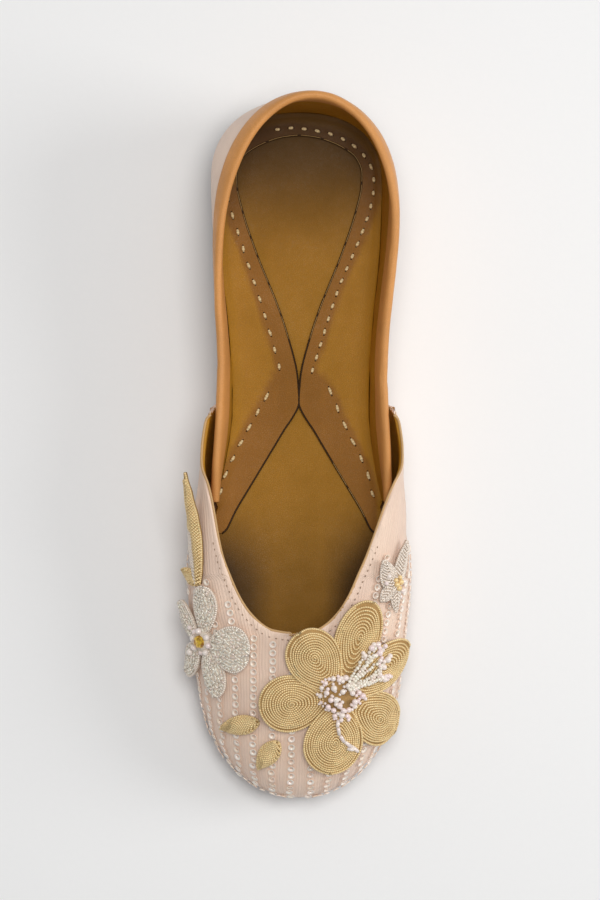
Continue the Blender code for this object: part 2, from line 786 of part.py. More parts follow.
def patch(ground, spot, length, width, half_width, thickness, lift, seat=MOTIF_SEAT):
    """One padded petal or leaf as a closed bmesh, laid on the vamp along the spot's own direction and
    lifting towards its tip."""
    first, last = PATCH_SHARES
    before = [0] * len(PATCH_COLUMNS)
    loops = []
    for i in range(PATCH_LINES + 1):
        share = first + (last - first) * math.sin(math.pi / 2 * i / PATCH_LINES)
        half = half_width(share) * width
        under = []
        over = []
        for j, step in enumerate(PATCH_COLUMNS):
            flat = spot.point + spot.ahead * (share - 0.5) * length + spot.across * half * step
            before[j] = ground.height(flat, spot.out, before[j])
            rise = before[j] + seat + lift * share**2
            padding = thickness * (1 - (1 - PADDING_EDGE) * step * step)
            under.append(flat + spot.out * rise)
            over.append(flat + spot.out * (rise + padding))
        loops.append(under + over[::-1])
    return loft(loops)


def fused(name, meshes, material, collection):
    """Overlapping closed bmeshes as one solid."""
    made = add_object(name, meshes[0], material, collection)
    helpers = []
    for i, mesh in enumerate(meshes[1:]):
        helper = add_object(f"{name}_{i}", mesh, material, collection)
        helpers.append(helper)
        fuse = made.modifiers.new("fuse", "BOOLEAN")
        fuse.operation = "UNION"
        fuse.solver = "EXACT"
        fuse.object = helper
    whole = bpy.data.meshes.new_from_object(made.evaluated_get(bpy.context.evaluated_depsgraph_get()))
    made.modifiers.clear()
    made.data = whole
    for helper in helpers:
        bpy.data.objects.remove(helper)
    return made


def plan_spot(ground, shares):
    """The spot at a place given across the shoe and back from the toe tip, facing the lateral side."""
    across, back = shares
    place = Vector((across * BALL_WIDTH / 2, TOE_Y + back * VAMP_LENGTH, THROAT_HEIGHT))
    return ground.spot(place, Vector((0, 0, 1)), Vector((1, 0, 0)))


def flower_core(ground, spot, radius):
    """The flat-topped pad at a flower's middle that its petals are sewn to."""
    mesh = bmesh.new()
    bmesh.ops.create_cone(
        mesh,
        cap_ends=True,
        segments=CORE_SIDES,
        radius1=radius,
        radius2=radius * CORE_TAPER,
        depth=1,
    )
    for vert in mesh.verts:
        flat = spot.point + spot.ahead * vert.co.x + spot.across * vert.co.y
        rise = CORE_HEIGHT if vert.co.z > 0 else ground.height(flat, spot.out, 0) + MOTIF_SEAT
        vert.co = flat + spot.out * rise
    bmesh.ops.recalc_face_normals(mesh, faces=mesh.faces)
    return mesh


def flower(name, ground, spot, petals, sizes, material, collection):
    """A flower: petals round a core, fused into one solid."""
    reach, length, width, lift, core = sizes
    meshes = [flower_core(ground, spot, core)]
    for petal in rows_of(petals):
        ahead = spot.direction(math.radians(petal["turn"]))
        tip = reach * petal["reach"] + length * petal["length"] / 2
        middle = spot.point + ahead * (tip + PETAL_ROOT) / 2
        meshes.append(patch(
            ground,
            ground.spot(middle, spot.out, ahead),
            tip - PETAL_ROOT,
            width * petal["width"],
            petal_half_width,
            PETAL_THICKNESS,
            lift,
            MOTIF_SEAT + PETAL_LAYER * petal["layer"],
        ))
    return fused(name, meshes, material, collection)


def leaf_patch(ground, leaf):
    """One leaf as a closed bmesh, from its row."""
    base = plan_spot(ground, (leaf["across"], leaf["back"]))
    ahead = base.direction(math.radians(leaf["turn"]))
    length = LEAF_LENGTH * leaf["length"]
    spot = ground.spot(base.point + ahead * length / 2, base.out, ahead)
    return patch(
        ground,
        spot,
        length,
        LEAF_WIDTH * leaf["width"],
        leaf_half_width,
        LEAF_THICKNESS,
        LEAF_LIFT * leaf["lift"],
    )


def pearl_cluster(spot, collection):
    """The cluster of pearls on the gold flower's core: a low dome with pearls round it and on it."""
    base = spot.point + spot.out * (CORE_HEIGHT + CLEARANCE)
    level = spot.out.to_track_quat("Z", "Y").to_matrix().to_4x4()
    dome = bmesh.new()
    bmesh.ops.create_cone(
        dome,
        cap_ends=True,
        segments=DOME_SIDES,
        radius1=PEARL_DOME_RADIUS,
        radius2=PEARL_DOME_RADIUS * DOME_TAPER,
        depth=PEARL_RADIUS,
        matrix=Matrix.Translation(base + spot.out * PEARL_RADIUS / 2) @ level,
    )
    meshes = [dome]
    places = [(PEARL_RING_RADIUS, i / PEARLS_ROUND, PEARL_RADIUS) for i in range(PEARLS_ROUND)]
    places += [(0, 0, PEARL_RADIUS * TOP_PEARL_RISE)]
    for radius, share, rise in places:
        turn = 2 * math.pi * share
        pearl = bmesh.new()
        bmesh.ops.create_icosphere(
            pearl,
            subdivisions=2,
            radius=PEARL_RADIUS,
            matrix=Matrix.Translation(base + spot.direction(turn) * radius + spot.out * rise),
        )
        meshes.append(pearl)
    return fused("pearl_cluster", meshes, "pearl", collection)


def amber_stone(spot, collection):
    """The cut stone at the silver flower's middle: a flat back and a faceted crown."""
    base = spot.point + spot.out * (CORE_HEIGHT + CLEARANCE)
    level = spot.out.to_track_quat("Z", "Y").to_matrix().to_4x4()
    depth = STONE_RADIUS * STONE_DEPTH
    mesh = bmesh.new()
    bmesh.ops.create_cone(
        mesh,
        cap_ends=True,
        segments=STONE_SIDES,
        radius1=STONE_RADIUS,
        radius2=STONE_RADIUS * STONE_TABLE,
        depth=depth,
        matrix=Matrix.Translation(base + spot.out * depth / 2) @ level,
    )
    return add_object("amber_stone", mesh, "amber_stone", collection)


def centre_on_floor(collection):
    """Moves everything together so that the whole is centred over the origin, its lowest point at 0."""
    corners = [vert.co for thing in collection.objects for vert in thing.data.vertices]
    low = Vector([min(corner[i] for corner in corners) for i in range(3)])
    high = Vector([max(corner[i] for corner in corners) for i in range(3)])
    offset = Matrix.Translation(Vector((-(low.x + high.x) / 2, -(low.y + high.y) / 2, -low.z)))
    for thing in collection.objects:
        thing.data.transform(offset)


def main():
    for thing in list(bpy.data.objects):
        bpy.data.objects.remove(thing)
    collection = bpy.data.collections.new("mojari")
    bpy.context.scene.collection.children.link(collection)
    outsole(collection)
    heel_lift(collection)
    insole(collection)
    quarter(collection)
    collar_binding(collection)
    carrier = vamp(collection)
    lining_flap(collection)
    ground = Ground(carrier)
    gold = plan_spot(ground, GOLD_FLOWER_PLACE)
    silver = plan_spot(ground, SILVER_FLOWER_PLACE)
    gold_sizes = (
        GOLD_PETAL_REACH,
        GOLD_PETAL_LENGTH,
        GOLD_PETAL_WIDTH,
        GOLD_PETAL_LIFT,
        GOLD_CORE_RADIUS,
    )
    silver_sizes = (
        SILVER_PETAL_REACH,
        SILVER_PETAL_LENGTH,
        SILVER_PETAL_WIDTH,
        SILVER_PETAL_LIFT,
        SILVER_CORE_RADIUS,
    )
    flower("gold_flower", ground, gold, GOLD_PETALS, gold_sizes, "gold_dabka", collection)
    pearl_cluster(gold, collection)
    flower("silver_flower", ground, silver, SILVER_PETALS, silver_sizes, "silver_bead", collection)
    amber_stone(silver, collection)
    for name, leaf in zip(("toe_leaf_medial", "toe_leaf_front"), rows_of(TOE_LEAVES)):
        add_object(name, leaf_patch(ground, leaf), "gold_dabka", collection)
    medial = [leaf_patch(ground, leaf) for leaf in rows_of(MEDIAL_LEAVES)]
    fused("medial_leaves", medial, "gold_dabka", collection)
    lateral = [leaf_patch(ground, leaf) for leaf in rows_of(LATERAL_LEAVES)]
    fused("lateral_leaves", lateral, "silver_bead", collection)
    centre_on_floor(collection)


main()
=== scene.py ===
"""The finish of an embroidered mojari: pleated cloth, bound collar, turned-in lining with its hand
stitches, sequins, coiled gold and silver flowers, pearls and a studio stage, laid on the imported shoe.
Lengths in the tables are millimetres in the shoe's own frame: toe towards -Y, outer side towards +X.
"""

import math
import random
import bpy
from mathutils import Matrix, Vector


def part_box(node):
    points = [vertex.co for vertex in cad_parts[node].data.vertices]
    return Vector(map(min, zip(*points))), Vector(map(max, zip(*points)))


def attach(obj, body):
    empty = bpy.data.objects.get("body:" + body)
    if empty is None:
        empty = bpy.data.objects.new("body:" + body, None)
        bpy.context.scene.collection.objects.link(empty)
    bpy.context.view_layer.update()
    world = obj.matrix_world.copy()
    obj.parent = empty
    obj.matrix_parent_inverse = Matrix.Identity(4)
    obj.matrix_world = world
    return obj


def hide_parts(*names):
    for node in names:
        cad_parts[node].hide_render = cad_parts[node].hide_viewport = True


bl_info = {
    "name": "Mojari finish",
    "version": (1, 0, 0),
    "blender": (4, 5, 0),
    "location": "3D View > Sidebar > Mojari",
    "description": "Dresses a packed mojari in cloth, leather, coiled cord, beads and pearls",
    "category": "Object",
}

import bmesh
import bpy
from bpy.props import FloatProperty, FloatVectorProperty, IntProperty, PointerProperty
from bpy.types import Operator, Panel, PropertyGroup
from mathutils import Matrix, Vector, noise
from mathutils.bvhtree import BVHTree
from mathutils.kdtree import KDTree

MM = 0.001
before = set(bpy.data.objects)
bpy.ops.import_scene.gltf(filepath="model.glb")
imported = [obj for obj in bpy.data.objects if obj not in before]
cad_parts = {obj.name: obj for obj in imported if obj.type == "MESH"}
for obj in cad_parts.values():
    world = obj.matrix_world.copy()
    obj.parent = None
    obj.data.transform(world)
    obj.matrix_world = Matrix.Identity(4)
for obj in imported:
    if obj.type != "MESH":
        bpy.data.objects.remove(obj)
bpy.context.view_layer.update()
WELD = 1e-6

# Places read from the frame: the shoe's centre line and the point its walls are seen from.
SOLE_LOW, SOLE_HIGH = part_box("outsole")
CENTRE_X = (SOLE_LOW[0] + SOLE_HIGH[0]) / 2
VAMP_LOW, VAMP_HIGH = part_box("vamp")
AXIS_HEIGHT = 8 * MM
AXIS_REACH = 90 * MM

# The middle of each flower on the vamp, and its petals: direction in degrees from the outer side
# towards the heel, distance of the petal's middle, its length and width, and the layer it lies in.
GOLD_PLACE = (14.5, -86.8)
SILVER_PLACE = (-31.9, -67.9)
GOLD_PETALS = (
    ("turn", "reach", "length", "width", "layer"),
    (122, 18.1, 20.0, 19.0, 1),
    (70, 24.4, 21.8, 17.2, 0),
    (26, 22.9, 18.9, 16.0, 1),
    (188, 17.4, 21.0, 21.0, 0),
    (266, 18.5, 21.8, 22.0, 1),
    (325, 20.4, 23.9, 19.0, 0),
)
SILVER_PETALS = (
    ("turn", "reach", "length", "width", "layer"),
    (90, 13.0, 15.6, 10.8, 0),
    (358, 12.0, 14.3, 16.8, 1),
    (293, 12.6, 15.9, 10.6, 0),
    (232, 12.0, 15.0, 10.2, 1),
    (152, 12.0, 14.3, 10.2, 1),
)

# Leaves: the base's place, direction, length, width and how far the tip stands off.
GOLD_LEAVES = {
    "toe_leaf_medial": (
        ("x", "y", "turn", "length", "width", "lift"),
        (-12.5, -96.3, 199, 16.0, 6.9, 1.0),
    ),
    "toe_leaf_front": (
        ("x", "y", "turn", "length", "width", "lift"),
        (-6.0, -103.3, 238, 14.0, 6.9, 1.0),
    ),
    "medial_leaves": (
        ("x", "y", "turn", "length", "width", "lift"),
        (-33.4, -48.4, 98, 42.0, 6.9, 5.0),
        (-33.8, -47.3, 160, 9.0, 5.4, 1.5),
    ),
}
LATERAL_LEAVES = (
    ("x", "y", "turn", "length", "width", "lift"),
    (34.7, -50.2, 76, 19.0, 5.7, 1.5),
    (34.1, -50.2, 112, 13.6, 6.6, 1.5),
    (34.7, -44.3, 268, 13.6, 4.8, 1.0),
    (34.5, -47.9, 215, 8.4, 5.1, 1.0),
)

# Pearls of the cluster and round the cut stone: place from the flower's middle and radius.
CLUSTER_PEARLS = (
    ("across", "ahead", "radius", "rise"),
    (-5.2, 2.0, 1.35, 0.0),
    (-2.6, 3.6, 1.45, 0.4),
    (0.6, 2.2, 1.30, 0.9),
    (2.3, 6.6, 1.45, 0.0),
    (-0.4, 6.2, 1.15, 0.0),
    (-2.6, 6.9, 1.20, 0.0),
    (-5.4, 5.4, 1.20, 0.0),
    (-6.6, 3.6, 1.05, 0.0),
    (-7.0, 0.6, 1.10, 0.0),
    (-4.6, -3.2, 1.35, 0.2),
    (-6.6, -2.0, 1.00, 0.0),
    (-1.9, -0.6, 1.30, 0.9),
    (-3.9, -0.5, 1.20, 1.0),
    (-0.6, -2.8, 1.35, 0.8),
    (-2.6, -4.6, 1.20, 0.4),
    (5.2, -2.0, 1.40, 0.6),
    (3.5, -5.3, 1.40, 0.1),
    (5.9, -4.4, 1.15, 0.0),
    (0.7, -6.9, 1.35, 0.0),
    (-1.8, -7.0, 1.10, 0.0),
    (3.0, -7.6, 1.10, 0.0),
    (1.0, -4.9, 1.15, 0.6),
    (8.9, -0.8, 1.35, 0.0),
    (7.2, -2.6, 1.10, 0.0),
    (7.2, 0.9, 1.15, 0.3),
    (4.2, 1.4, 1.20, 0.9),
    (2.6, 4.2, 1.20, 0.6),
    (4.9, 4.0, 1.10, 0.2),
)
# Strings of small beads that fan out of the cluster, each to its tip.
STAMENS = (
    ("across", "ahead", "tip"),
    (9.6, 14.0, 1.10),
    (12.3, 16.5, 1.30),
    (15.0, 17.3, 1.25),
    (15.4, 14.4, 1.30),
    (15.6, 11.6, 1.00),
    (18.6, 11.6, 1.35),
    (17.0, 9.0, 1.25),
    (15.4, 6.6, 1.05),
    (17.4, 4.4, 1.30),
    (19.3, 5.1, 1.15),
)
# Glass tubes that hang down over the front petal: place, direction and length.
HANGING_TUBES = (
    ("across", "ahead", "turn", "length"),
    (-0.6, -10.0, 262, 2.6),
    (-0.2, -13.0, 280, 2.8),
    (1.2, -16.0, 300, 2.8),
    (3.6, -18.4, 320, 3.2),
    (6.4, -20.6, 318, 3.6),
    (4.6, -20.4, 345, 2.4),
)
STONE_BEADS = (
    ("across", "ahead", "radius", "rise"),
    (-0.6, 4.0, 1.15, 0.0),
    (3.2, 2.5, 1.15, 0.0),
    (4.0, -0.4, 1.10, 0.0),
    (2.7, -3.3, 1.15, 0.0),
    (-0.3, -4.2, 1.10, 0.0),
    (-3.1, -2.9, 1.15, 0.0),
    (-4.1, 0.2, 1.10, 0.0),
    (-3.2, 2.9, 1.10, 0.0),
    (-5.6, -5.4, 1.20, 0.0),
    (-5.9, 3.8, 0.90, 0.0),
)
SPRAY_BEADS = (
    ("across", "ahead", "radius", "rise"),
    (-0.9, 0.6, 1.05, 0.0),
    (0.9, 1.3, 1.10, 0.0),
    (0.2, -0.9, 1.05, 0.0),
    (1.9, -0.4, 0.95, 0.0),
    (-1.2, 2.2, 0.90, 0.0),
    (0.6, 3.0, 0.85, 0.0),
)
SPRAY_PEARLS = (
    ("across", "ahead", "radius", "rise"),
    (4.1, -3.0, 1.10, 0.0),
    (4.9, 0.2, 1.00, 0.0),
    (2.9, -5.0, 0.90, 0.0),
    (-4.6, 4.2, 0.90, 0.0),
    (-5.2, 1.6, 0.85, 0.0),
)
SPRAY_PLACE = (34.9, -47.9)

# The hand stitches' lines on the turned-in lining, seen from above.
HEEL_OUTER_STITCHES = (
    (-5.9, 116.0), (0.0, 116.6), (8.2, 115.5), (14.0, 114.2), (19.6, 111.6), (24.4, 107.8), (27.9, 102.8),
    (29.2, 96.4), (28.2, 89.4), (26.2, 82.8), (22.2, 72.5), (17.2, 61.1), (13.4, 50.3), (10.1, 39.5),
    (6.8, 28.9),
)
HEEL_INNER_STITCHES = (
    (-24.0, 91.0), (-22.0, 83.8), (-19.9, 77.6), (-16.2, 66.0), (-12.4, 54.6), (-8.6, 42.2), (-5.3, 30.2),
)
BALL_INNER_STITCHES = ((-9.9, 19.3), (-16.4, 7.8), (-22.4, -3.6), (-25.0, -9.4), (-26.6, -15.2))
BALL_OUTER_STITCHES = ((13.3, 21.3), (18.5, 9.4), (24.7, -3.1), (27.4, -9.4), (28.9, -16.0))
STITCH_LINES = (
    ("pitch", "length", "points"),
    (4.9, 1.7, HEEL_OUTER_STITCHES),
    (6.1, 1.9, HEEL_INNER_STITCHES),
    (6.6, 2.5, BALL_INNER_STITCHES),
    (6.6, 2.5, BALL_OUTER_STITCHES),
)

# Soft creases that wear leaves: the piece, the crease's two ends and a point it bows through, its depth
# (a ridge where it is negative) and its half width.
CREASES = (
    ("piece", "start", "middle", "end", "depth", "width"),
    ("vamp", (-27, -62, 36), (0, -70, 40), (30, -60, 36), 0.45, 4.0),
    ("vamp", (-24, -70, 35), (2, -76, 39), (26, -70, 35), -0.25, 3.5),
    ("vamp", (40, -40, 30), (40, -30, 24), (38, -14, 16), 0.50, 3.5),
    ("vamp", (-36, -42, 30), (-37, -32, 24), (-35, -16, 16), 0.50, 3.5),
    ("vamp", (38, -30, 34), (38, -16, 28), (36, -2, 22), -0.30, 3.0),
    ("quarter", (29, 20, 38), (28, 26, 26), (29, 34, 12), 0.70, 4.5),
    ("quarter", (28, 34, 42), (27, 40, 30), (28, 48, 14), -0.45, 4.5),
    ("quarter", (28, 52, 46), (28, 58, 34), (29, 64, 18), 0.45, 4.0),
    ("quarter", (-25, 18, 38), (-25, 24, 26), (-25, 32, 12), 0.70, 4.5),
    ("quarter", (-24, 34, 42), (-24, 42, 30), (-24, 50, 14), -0.45, 4.5),
    ("quarter", (-25, 56, 46), (-26, 62, 34), (-27, 70, 18), 0.45, 4.0),
    ("quarter", (-20, 116, 40), (4, 124, 38), (26, 112, 40), 0.35, 4.0),
    ("insole", (-30, -52, 8), (2, -58, 8), (34, -50, 8), 0.25, 4.0),
    ("insole", (-28, -66, 8), (2, -72, 8), (32, -64, 8), 0.20, 3.5),
    ("insole", (-16, 96, 13), (2, 84, 13), (20, 96, 13), 0.30, 9.0),
    ("binding", (29, 24, 46), (31, 25, 44), (32, 26, 41), 0.28, 2.2),
    ("binding", (30, 66, 54), (32, 67, 52), (33, 68, 49), 0.28, 2.4),
    ("binding", (-25, 30, 46), (-28, 31, 44), (-29, 32, 41), 0.28, 2.2),
    ("binding", (-25, 74, 56), (-29, 75, 54), (-30, 76, 51), 0.28, 2.4),
)


def rows_of(table):
    """The rows of a table, each with its columns' names."""
    return [dict(zip(table[0], row)) for row in table[1:]]


def smooth_step(value, low, high):
    t = min(max((value - low) / (high - low), 0), 1)
    return t * t * (3 - 2 * t)


# Settings a user would change.


class MojariSizes(PropertyGroup):
    """Sizes of the trim, in metres."""

    pleat_pitch: FloatProperty(
        name="Column spacing",
        description="From one sequin column to the next",
        default=6.95 * MM,
        unit="LENGTH",
    )
    pleat_depth: FloatProperty(
        name="Pleat depth",
        description="How far the cloth puffs between columns",
        default=0.34 * MM,
        unit="LENGTH",
    )
    sequin_radius: FloatProperty(
        name="Sequin radius", description="Outer radius of a ring sequin", default=1.28 * MM, unit="LENGTH"
    )
    sequin_pitch: FloatProperty(
        name="Sequin spacing", description="From one sequin to the next", default=2.95 * MM, unit="LENGTH"
    )
    coil_pitch: FloatProperty(
        name="Coil pitch",
        description="From one turn of gold cord to the next",
        default=0.80 * MM,
        unit="LENGTH",
    )
    coil_radius: FloatProperty(
        name="Cord radius", description="Radius of the coiled gold cord", default=0.37 * MM, unit="LENGTH"
    )
    chip_radius: FloatProperty(
        name="Cut bead radius", description="Radius of the silver cut beads", default=0.42 * MM, unit="LENGTH"
    )
    stitch_radius: FloatProperty(
        name="Stitch radius", description="Radius of a hand stitch's thread", default=0.58 * MM, unit="LENGTH"
    )
    piping_radius: FloatProperty(
        name="Piping radius",
        description="Radius of the piping round the throat",
        default=0.44 * MM,
        unit="LENGTH",
    )
    seed: IntProperty(name="Seed", description="Sets the small irregularities of hand work", default=7, min=0)


def colour_property(name, description, text):
    """A colour setting whose default is an sRGB hex value, kept linear."""
    return FloatVectorProperty(
        name=name, description=description, default=linear(text), subtype="COLOR", size=3, min=0, max=1
    )


def linear(text):
    """An sRGB hex colour as linear values."""
    parts = []
    for i in (0, 2, 4):
        value = int(text[i : i + 2], 16) / 255
        parts.append(value / 12.92 if value <= 0.04045 else ((value + 0.055) / 1.055) ** 2.4)
    return tuple(parts)


class MojariColours(PropertyGroup):
    """Colours of the cloth, leathers and trim."""

    cloth: colour_property("Cloth", "Dusty pink-beige silk blend", "F9DBC5")
    lining: colour_property("Lining", "Olive-brown lining leather", "BC8420")
    insole: colour_property("Insole", "Brown insole leather", "B57F20")
    binding: colour_property("Binding", "Tan collar leather", "DE9B57")
    sole: colour_property("Sole", "Natural sole leather", "A9784A")
    heel: colour_property("Heel", "Stacked heel", "5A4030")
    gold: colour_property("Gold cord", "Pale antique gold", "FFE2AA")
    silver: colour_property("Silver", "Silver cut beads", "FFF1E2")
    pearl: colour_property("Pearl", "Pinkish white pearl", "F0E4DA")
    stone: colour_property("Stone", "Amber cut glass", "D08A10")
    thread: colour_property("Thread", "Cream stitching thread", "F6DDA8")
    floor: colour_property("Floor", "Pale studio floor", "F5F5F5")


def sizes():
    return bpy.context.scene.mojari_sizes


def colours():
    return bpy.context.scene.mojari_colours


# Materials.


def add(tree, kind, inputs=None, **settings):
    """A new node with its settings; inputs are values, or sockets to link, by name or number."""
    made = tree.nodes.new(kind)
    for name, value in settings.items():
        setattr(made, name, value)
    for name, value in (inputs or {}).items():
        if isinstance(value, bpy.types.NodeSocket):
            tree.links.new(value, made.inputs[name])
        else:
            made.inputs[name].default_value = value
    return made


def new_material(name, **shader_values):
    """A new Principled material: (material, tree, shader), with constants on the shader's own sockets."""
    made = bpy.data.materials.new(name)
    made.use_nodes = True
    tree = made.node_tree
    shader = tree.nodes["Principled BSDF"]
    for key, value in shader_values.items():
        shader.inputs[key.replace("_", " ")].default_value = value
    return made, tree, shader


def place_of(tree):
    return add(tree, "ShaderNodeTexCoord").outputs["Object"]


def cloud(tree, place, size, detail=2, stretch=None, roughness=0.5):
    """Soft noise from 0 to 1 whose blotches are about size metres across."""
    if stretch:
        place = add(tree, "ShaderNodeMapping", {"Vector": place, "Scale": stretch}).outputs["Vector"]
    return add(
        tree,
        "ShaderNodeTexNoise",
        {"Vector": place, "Scale": 1 / size, "Detail": detail, "Roughness": roughness},
    ).outputs["Fac"]


def wave(tree, value, pitch):
    """A sine from -1 to 1 that repeats each pitch metres of a value."""
    turns = add(tree, "ShaderNodeMath", {0: value, 1: 2 * math.pi / pitch}, operation="MULTIPLY")
    return add(tree, "ShaderNodeMath", {0: turns.outputs[0]}, operation="SINE").outputs[0]


def math_of(tree, operation, first, second):
    return add(tree, "ShaderNodeMath", {0: first, 1: second}, operation=operation).outputs[0]


def spread(tree, value, low, high, to_low=0.0, to_high=1.0):
    """A value's range moved onto another, clamped."""
    return add(
        tree,
        "ShaderNodeMapRange",
        {"Value": value, "From Min": low, "From Max": high, "To Min": to_low, "To Max": to_high},
    ).outputs["Result"]


def blend(tree, share, first, second, kind="MIX"):
    """A colour between two, each a socket or a linear triple, by a share."""
    first = first if isinstance(first, bpy.types.NodeSocket) else (*first, 1)
    second = second if isinstance(second, bpy.types.NodeSocket) else (*second, 1)
    mix = add(tree, "ShaderNodeMix", {0: share, 6: first, 7: second}, data_type="RGBA", blend_type=kind)
    return mix.outputs[2]


def shade(colour, factor):
    return tuple(min(channel * factor, 1) for channel in colour)


def relief(tree, shader, layers):
    """Bump layers as (height socket, depth in metres), one over the other."""
    normal = None
    for height, depth in layers:
        inputs = {"Height": height, "Distance": depth, "Strength": 1.0}
        if normal:
            inputs["Normal"] = normal
        normal = add(tree, "ShaderNodeBump", inputs).outputs["Normal"]
    tree.links.new(normal, shader.inputs["Normal"])


def join(tree, shader, name, socket):
    tree.links.new(socket, shader.inputs[name])


def pleated_silk():
    """Silk blend woven plain and pressed into pin pleats: matte with a faint sheen, fine lengthwise ribs
    and slubs. The real threads, 0.15 mm apart, are drawn 0.5 mm apart so that they show."""
    base = tuple(colours().cloth)
    made, tree, shader = new_material("pleated_silk", Roughness=0.72)
    shader.inputs["Sheen Weight"].default_value = 0.25
    shader.inputs["Sheen Roughness"].default_value = 0.5
    place = place_of(tree)
    across = add(tree, "ShaderNodeAttribute", attribute_name="across").outputs["Fac"]
    wander = math_of(tree, "MULTIPLY", cloud(tree, place, 9 * MM), 0.9 * MM)
    across = math_of(tree, "ADD", across, wander)
    ribs = wave(tree, across, 1.15 * MM)
    fine = wave(tree, across, 0.5 * MM)
    slub = cloud(tree, place, 1.1 * MM, 4, (1.0, 0.16, 1.0), 0.7)
    nap = cloud(tree, place, 0.35 * MM, 3, None, 0.7)
    dusk = cloud(tree, place, 22 * MM, 3)
    colour = blend(tree, spread(tree, ribs, -1, 0.4, 0.12, 0), base, shade(base, 0.7))
    colour = blend(tree, spread(tree, slub, 0.40, 0.72, 0, 0.30), colour, shade(base, 1.16))
    colour = blend(tree, spread(tree, dusk, 0.42, 0.66, 0, 0.30), colour, linear("D9BBAC"))
    colour = blend(tree, spread(tree, nap, 0.35, 0.7, 0.10, 0), colour, shade(base, 0.5))
    join(tree, shader, "Base Color", colour)
    join(tree, shader, "Roughness", spread(tree, slub, 0.3, 0.7, 0.62, 0.82))
    relief(tree, shader, [(ribs, 0.045 * MM), (fine, 0.03 * MM), (slub, 0.10 * MM), (nap, 0.07 * MM)])
    return made


def dyed_leather(name, base, grain, roughness, worn, coat=0.0, turned=None, deep=None):
    """Vegetable-tanned leather: fine pebbled grain, uneven dye and small scuffs that catch the light.
    Turned and deep are the colours that it takes on where the attributes of those names are 1; deep is
    painted shade."""
    made, tree, shader = new_material(name, Roughness=roughness)
    shader.inputs["Specular IOR Level"].default_value = 0.28
    shader.inputs["Coat Weight"].default_value = coat
    shader.inputs["Coat Roughness"].default_value = 0.35
    place = place_of(tree)
    pebbles = add(
        tree,
        "ShaderNodeTexVoronoi",
        {"Vector": place, "Scale": 1 / grain, "Randomness": 1.0},
        feature="DISTANCE_TO_EDGE",
    ).outputs["Distance"]
    pores = cloud(tree, place, grain * 0.6, 4, None, 0.6)
    dye = cloud(tree, place, 18 * MM, 4, None, 0.6)
    streak = cloud(tree, place, 3 * MM, 5, (1.0, 0.25, 1.0), 0.65)
    start = base
    if turned:
        share = add(tree, "ShaderNodeAttribute", attribute_name="turned").outputs["Fac"]
        start = blend(tree, share, base, turned)
    darker = blend(tree, 1.0, start, (0.74, 0.74, 0.74), "MULTIPLY")
    colour = blend(tree, spread(tree, dye, 0.34, 0.68, 0, 0.55), start, darker)
    colour = blend(tree, spread(tree, streak, 0.52, 0.80, 0, worn), colour, shade(base, 1.35))
    colour = blend(tree, spread(tree, pebbles, 0.0, 0.16, 0.22, 0), colour, shade(base, 0.5))
    # Painted shade: the deep colour laid over the leather where the deep attribute is 1.
    if deep:
        share = add(tree, "ShaderNodeAttribute", attribute_name="deep").outputs["Fac"]
        colour = blend(tree, share, colour, deep)
    join(tree, shader, "Base Color", colour)
    join(tree, shader, "Roughness", spread(tree, dye, 0.3, 0.7, roughness - 0.07, roughness + 0.10))
    grains = spread(tree, pebbles, 0, 0.22)
    relief(tree, shader, [(grains, 0.05 * MM), (pores, 0.05 * MM), (streak, 0.06 * MM)])
    return made


def collar_leather():
    """Tan calf, skived and folded: smooth with a low gloss."""
    return dyed_leather("tan_calf_binding", tuple(colours().binding), 0.7 * MM, 0.44, 0.22, 0.12)


def lining_leather():
    """Olive-brown sheep lining: smooth, a little glossier where it is handled."""
    return dyed_leather("sheep_lining", tuple(colours().lining), 0.6 * MM, 0.46, 0.20, 0.05)


def insole_leather():
    """Brown insole split: smooth with soft mottling."""
    # The deep colour is painted shade in the heel seat and at the sides of the tread.
    base, deep = tuple(colours().insole), linear("1F1102")
    return dyed_leather("insole_split", base, 0.6 * MM, 0.55, 0.12, 0.0, None, deep)


def flap_leather():
    """The lining's turned-in margin: the same sheep leather, browner than where it comes off the wall."""
    lining = tuple(colours().lining)
    # The deep colour is painted shade in the heel seat.
    deep = linear("1F1102")
    return dyed_leather("sheep_lining_margin", linear("A26C22"), 0.6 * MM, 0.5, 0.28, 0.0, lining, deep)


def cut_edge():
    """Raw cut edge of leather: fibrous and darker, with pale fibres standing up."""
    base = linear("7A5220")
    made, tree, shader = new_material("raw_cut_edge", Roughness=0.85)
    place = place_of(tree)
    fibres = cloud(tree, place, 0.5 * MM, 4, None, 0.75)
    join(tree, shader, "Base Color", blend(tree, spread(tree, fibres, 0.45, 0.65), base, linear("C79A5C")))
    relief(tree, shader, [(fibres, 0.15 * MM)])
    return made


def sole_leather():
    """Oak-bark tanned sole leather: level and fibrous, its edge burnished darker in fine layers."""
    base = tuple(colours().sole)
    made, tree, shader = new_material("bark_tanned_sole", Roughness=0.55)
    place = place_of(tree)
    layers = cloud(tree, place, 1.2 * MM, 4, (0.12, 0.12, 2.2), 0.6)
    scuffs = cloud(tree, place, 12 * MM, 6, (1.0, 0.5, 1.0), 0.7)
    pores = cloud(tree, place, 0.5 * MM, 3)
    facing = add(tree, "ShaderNodeSeparateXYZ", {0: add(tree, "ShaderNodeNewGeometry").outputs["Normal"]})
    side = spread(tree, math_of(tree, "ABSOLUTE", facing.outputs["Z"], 0), 0.3, 0.8, 1, 0)
    burnish = blend(tree, spread(tree, layers, 0.35, 0.65), shade(base, 0.42), shade(base, 0.70))
    under = blend(tree, spread(tree, scuffs, 0.40, 0.70), base, shade(base, 0.66))
    join(tree, shader, "Base Color", blend(tree, side, under, burnish))
    join(tree, shader, "Roughness", spread(tree, side, 0, 1, 0.66, 0.40))
    relief(tree, shader, [(layers, 0.12 * MM), (pores, 0.06 * MM), (scuffs, 0.15 * MM)])
    return made


